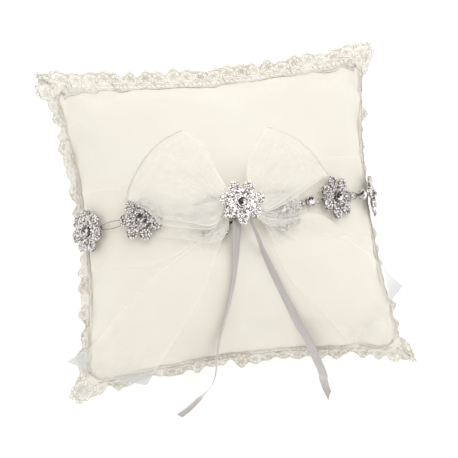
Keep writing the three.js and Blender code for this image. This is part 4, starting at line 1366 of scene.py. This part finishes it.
def flower_axes(setting, way):
    """Two directions in the flower's plane, the first towards a petal's tip."""
    _, points = node_points(setting)
    table, _ = flower_frames[setting]
    side = unit(np.cross(way, [0.31, 0.95, 0.05]))
    other = np.cross(way, side)
    flat = points - table
    a, b = flat @ side, flat @ other
    radius = np.hypot(a, b)
    tips = (radius > TIP_RING[0]) & (radius < TIP_RING[1])
    angle = np.arctan2(b[tips], a[tips])
    phase = np.angle(np.sum(np.exp(1j * PETALS * angle))) / PETALS
    return turned_pair(side, other, phase)


stone_spots, bead_spots, heart_spots = [], [], []
flower_ways = []
for setting, (table, way) in flower_frames.items():
    axes = flower_axes(setting, way)
    foot = table - way * (STONE_TOP * MM - PLATE_TOP)
    flower_ways.append(way)
    for petal in range(PETALS):
        out, over = turned_pair(*axes, 2 * math.pi * petal / PETALS)
        centre = foot + out * PETAL_RING
        heart = centre - way * HEART_SUNK
        heart_spots += ring_spots(heart, (out, over), HEART_RING, STONES_IN_HEART, HEART_SHIFT)
        for spots, shift in ((stone_spots, 0.0), (bead_spots, 0.5)):
            spots += ring_spots(centre, (out, over), PETAL_STONE_RING, STONES_IN_PETAL, shift)
    for spots, shift in ((stone_spots, 0.0), (bead_spots, 0.5)):
        spots += ring_spots(foot, axes, COLLAR_RING, STONES_ROUND_HEART, shift)

small_stone = cut_stone("small_stone", 1.0, 0.95, 8, 4, PAVE_CRYSTAL)
bead_mesh = bpy.data.meshes.new("bead")
shaper = bmesh.new()
bmesh.ops.create_icosphere(shaper, subdivisions=1, radius=1.0)
shaper.to_mesh(bead_mesh)
shaper.free()
bead_mesh.polygons.foreach_set("use_smooth", [True] * len(bead_mesh.polygons))
bead = add_object("bead", bead_mesh)

for name, spots, shape, size, spread, seed, finish, slot in (
        ("pave_stones", stone_spots, small_stone, 0.80, 0.10, 5, PAVE_CRYSTAL, "clear_crystal"),
        ("petal_heart_stones", heart_spots, small_stone, 0.82, 0.10, 9, PAVE_CRYSTAL, "clear_crystal"),
        ("claw_beads", bead_spots, bead, 0.42, 0.08, 6, SILVER_METAL, "silver_metal")):
    made = points_piece(name, spots, np.repeat(flower_ways, len(spots) // len(flower_ways), axis=0))
    run_nodes(made, SET_ON_POINTS, {"Shape": shape, "Size": size * MM, "Size spread": spread * MM,
                                    "Seed": seed, "Finish": finish})
    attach(made, "root")
for helper in (small_stone, bead):
    bpy.data.objects.remove(helper)
print(len(stone_spots), "small stones,", len(bead_spots), "beads")

# %% Finish of the CAD metal
METAL_STARTS = ("flower_setting_", "brooch_setting", "crystal_cup_", "wire_link_")
metal_nodes = [node for name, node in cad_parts.items() if name.startswith(METAL_STARTS)]
for node in metal_nodes:
    if not node.material_slots:
        node.data.materials.append(SILVER_METAL)
    finish = SETTING_METAL if "setting" in node.name else SILVER_METAL
    finish = WIRE_METAL if "link" in node.name else finish
    for holder in node.material_slots:
        holder.material = finish
print(len(metal_nodes), "CAD metal pieces finished")

# %% [markdown]
# ## Floor and light
# A pale floor under the pillow, one large soft light from above and behind on the right, a
# weaker fill from the front left and a bright surround. Three dark cards stand out of view,
# so that the stones and the plated metal have something dark to reflect.

# %% Stage
FLOOR_SIZE, FLOOR_Z = 3.0, -0.2 * MM
# Each dark card as x, y, z and half its width.
DARK_CARDS = ((0.45, 0.75, 0.9, 0.28), (-0.7, -0.5, 0.75, 0.2), (-0.22, -0.10, 1.4, 0.30))


def light(name, place, size, power, aim=(0, 0, 0.04)):
    lamp = bpy.data.lights.new(name, "AREA")
    lamp.energy = power
    lamp.size = size
    holder = bpy.data.objects.new(name, lamp)
    bpy.context.scene.collection.objects.link(holder)
    holder.location = place
    holder.rotation_euler = (Vector(aim) - Vector(place)).to_track_quat("-Z", "Y").to_euler()


def stage_square(name, reach, material, place):
    made = mesh_piece(name, [(-reach, -reach, 0), (reach, -reach, 0), (reach, reach, 0),
                             (-reach, reach, 0)], [(0, 1, 2, 3)], material)
    made.data.transform(place)


floor_material = new_material("pale floor", (0.95, 0.95, 0.95), 0.9, {
    "Emission Color": (1, 1, 1, 1), "Emission Strength": 0.3})[0]
stage_square("floor", FLOOR_SIZE / 2, floor_material, Matrix.Translation((0, 0, FLOOR_Z)))

world = bpy.data.worlds.new("surround")
world.use_nodes = True
world.node_tree.nodes["Background"].inputs["Color"].default_value = (1.0, 0.99, 0.975, 1)
world.node_tree.nodes["Background"].inputs["Strength"].default_value = 0.89
bpy.context.scene.world = world
bpy.context.scene.view_settings.view_transform = "Standard"
light("key", (0.25, 0.5, 1.0), 0.9, 3.9)
light("fill", (-0.6, -0.4, 0.9), 0.7, 1.2)

card_material = new_material("dark card", (0.02, 0.02, 0.02), 0.9)[0]
flat_to_upright = Matrix.Rotation(math.pi / 2, 4, "X")
for number, (x, y, z, wide) in enumerate(DARK_CARDS):
    aim = Vector((0, 0, 0.05)) - Vector((x, y, z))
    facing = aim.to_track_quat("Y", "Z").to_matrix().to_4x4()
    stage_square(f"dark_card_{number}", wide, card_material,
                 Matrix.Translation((x, y, z)) @ facing @ flat_to_upright)
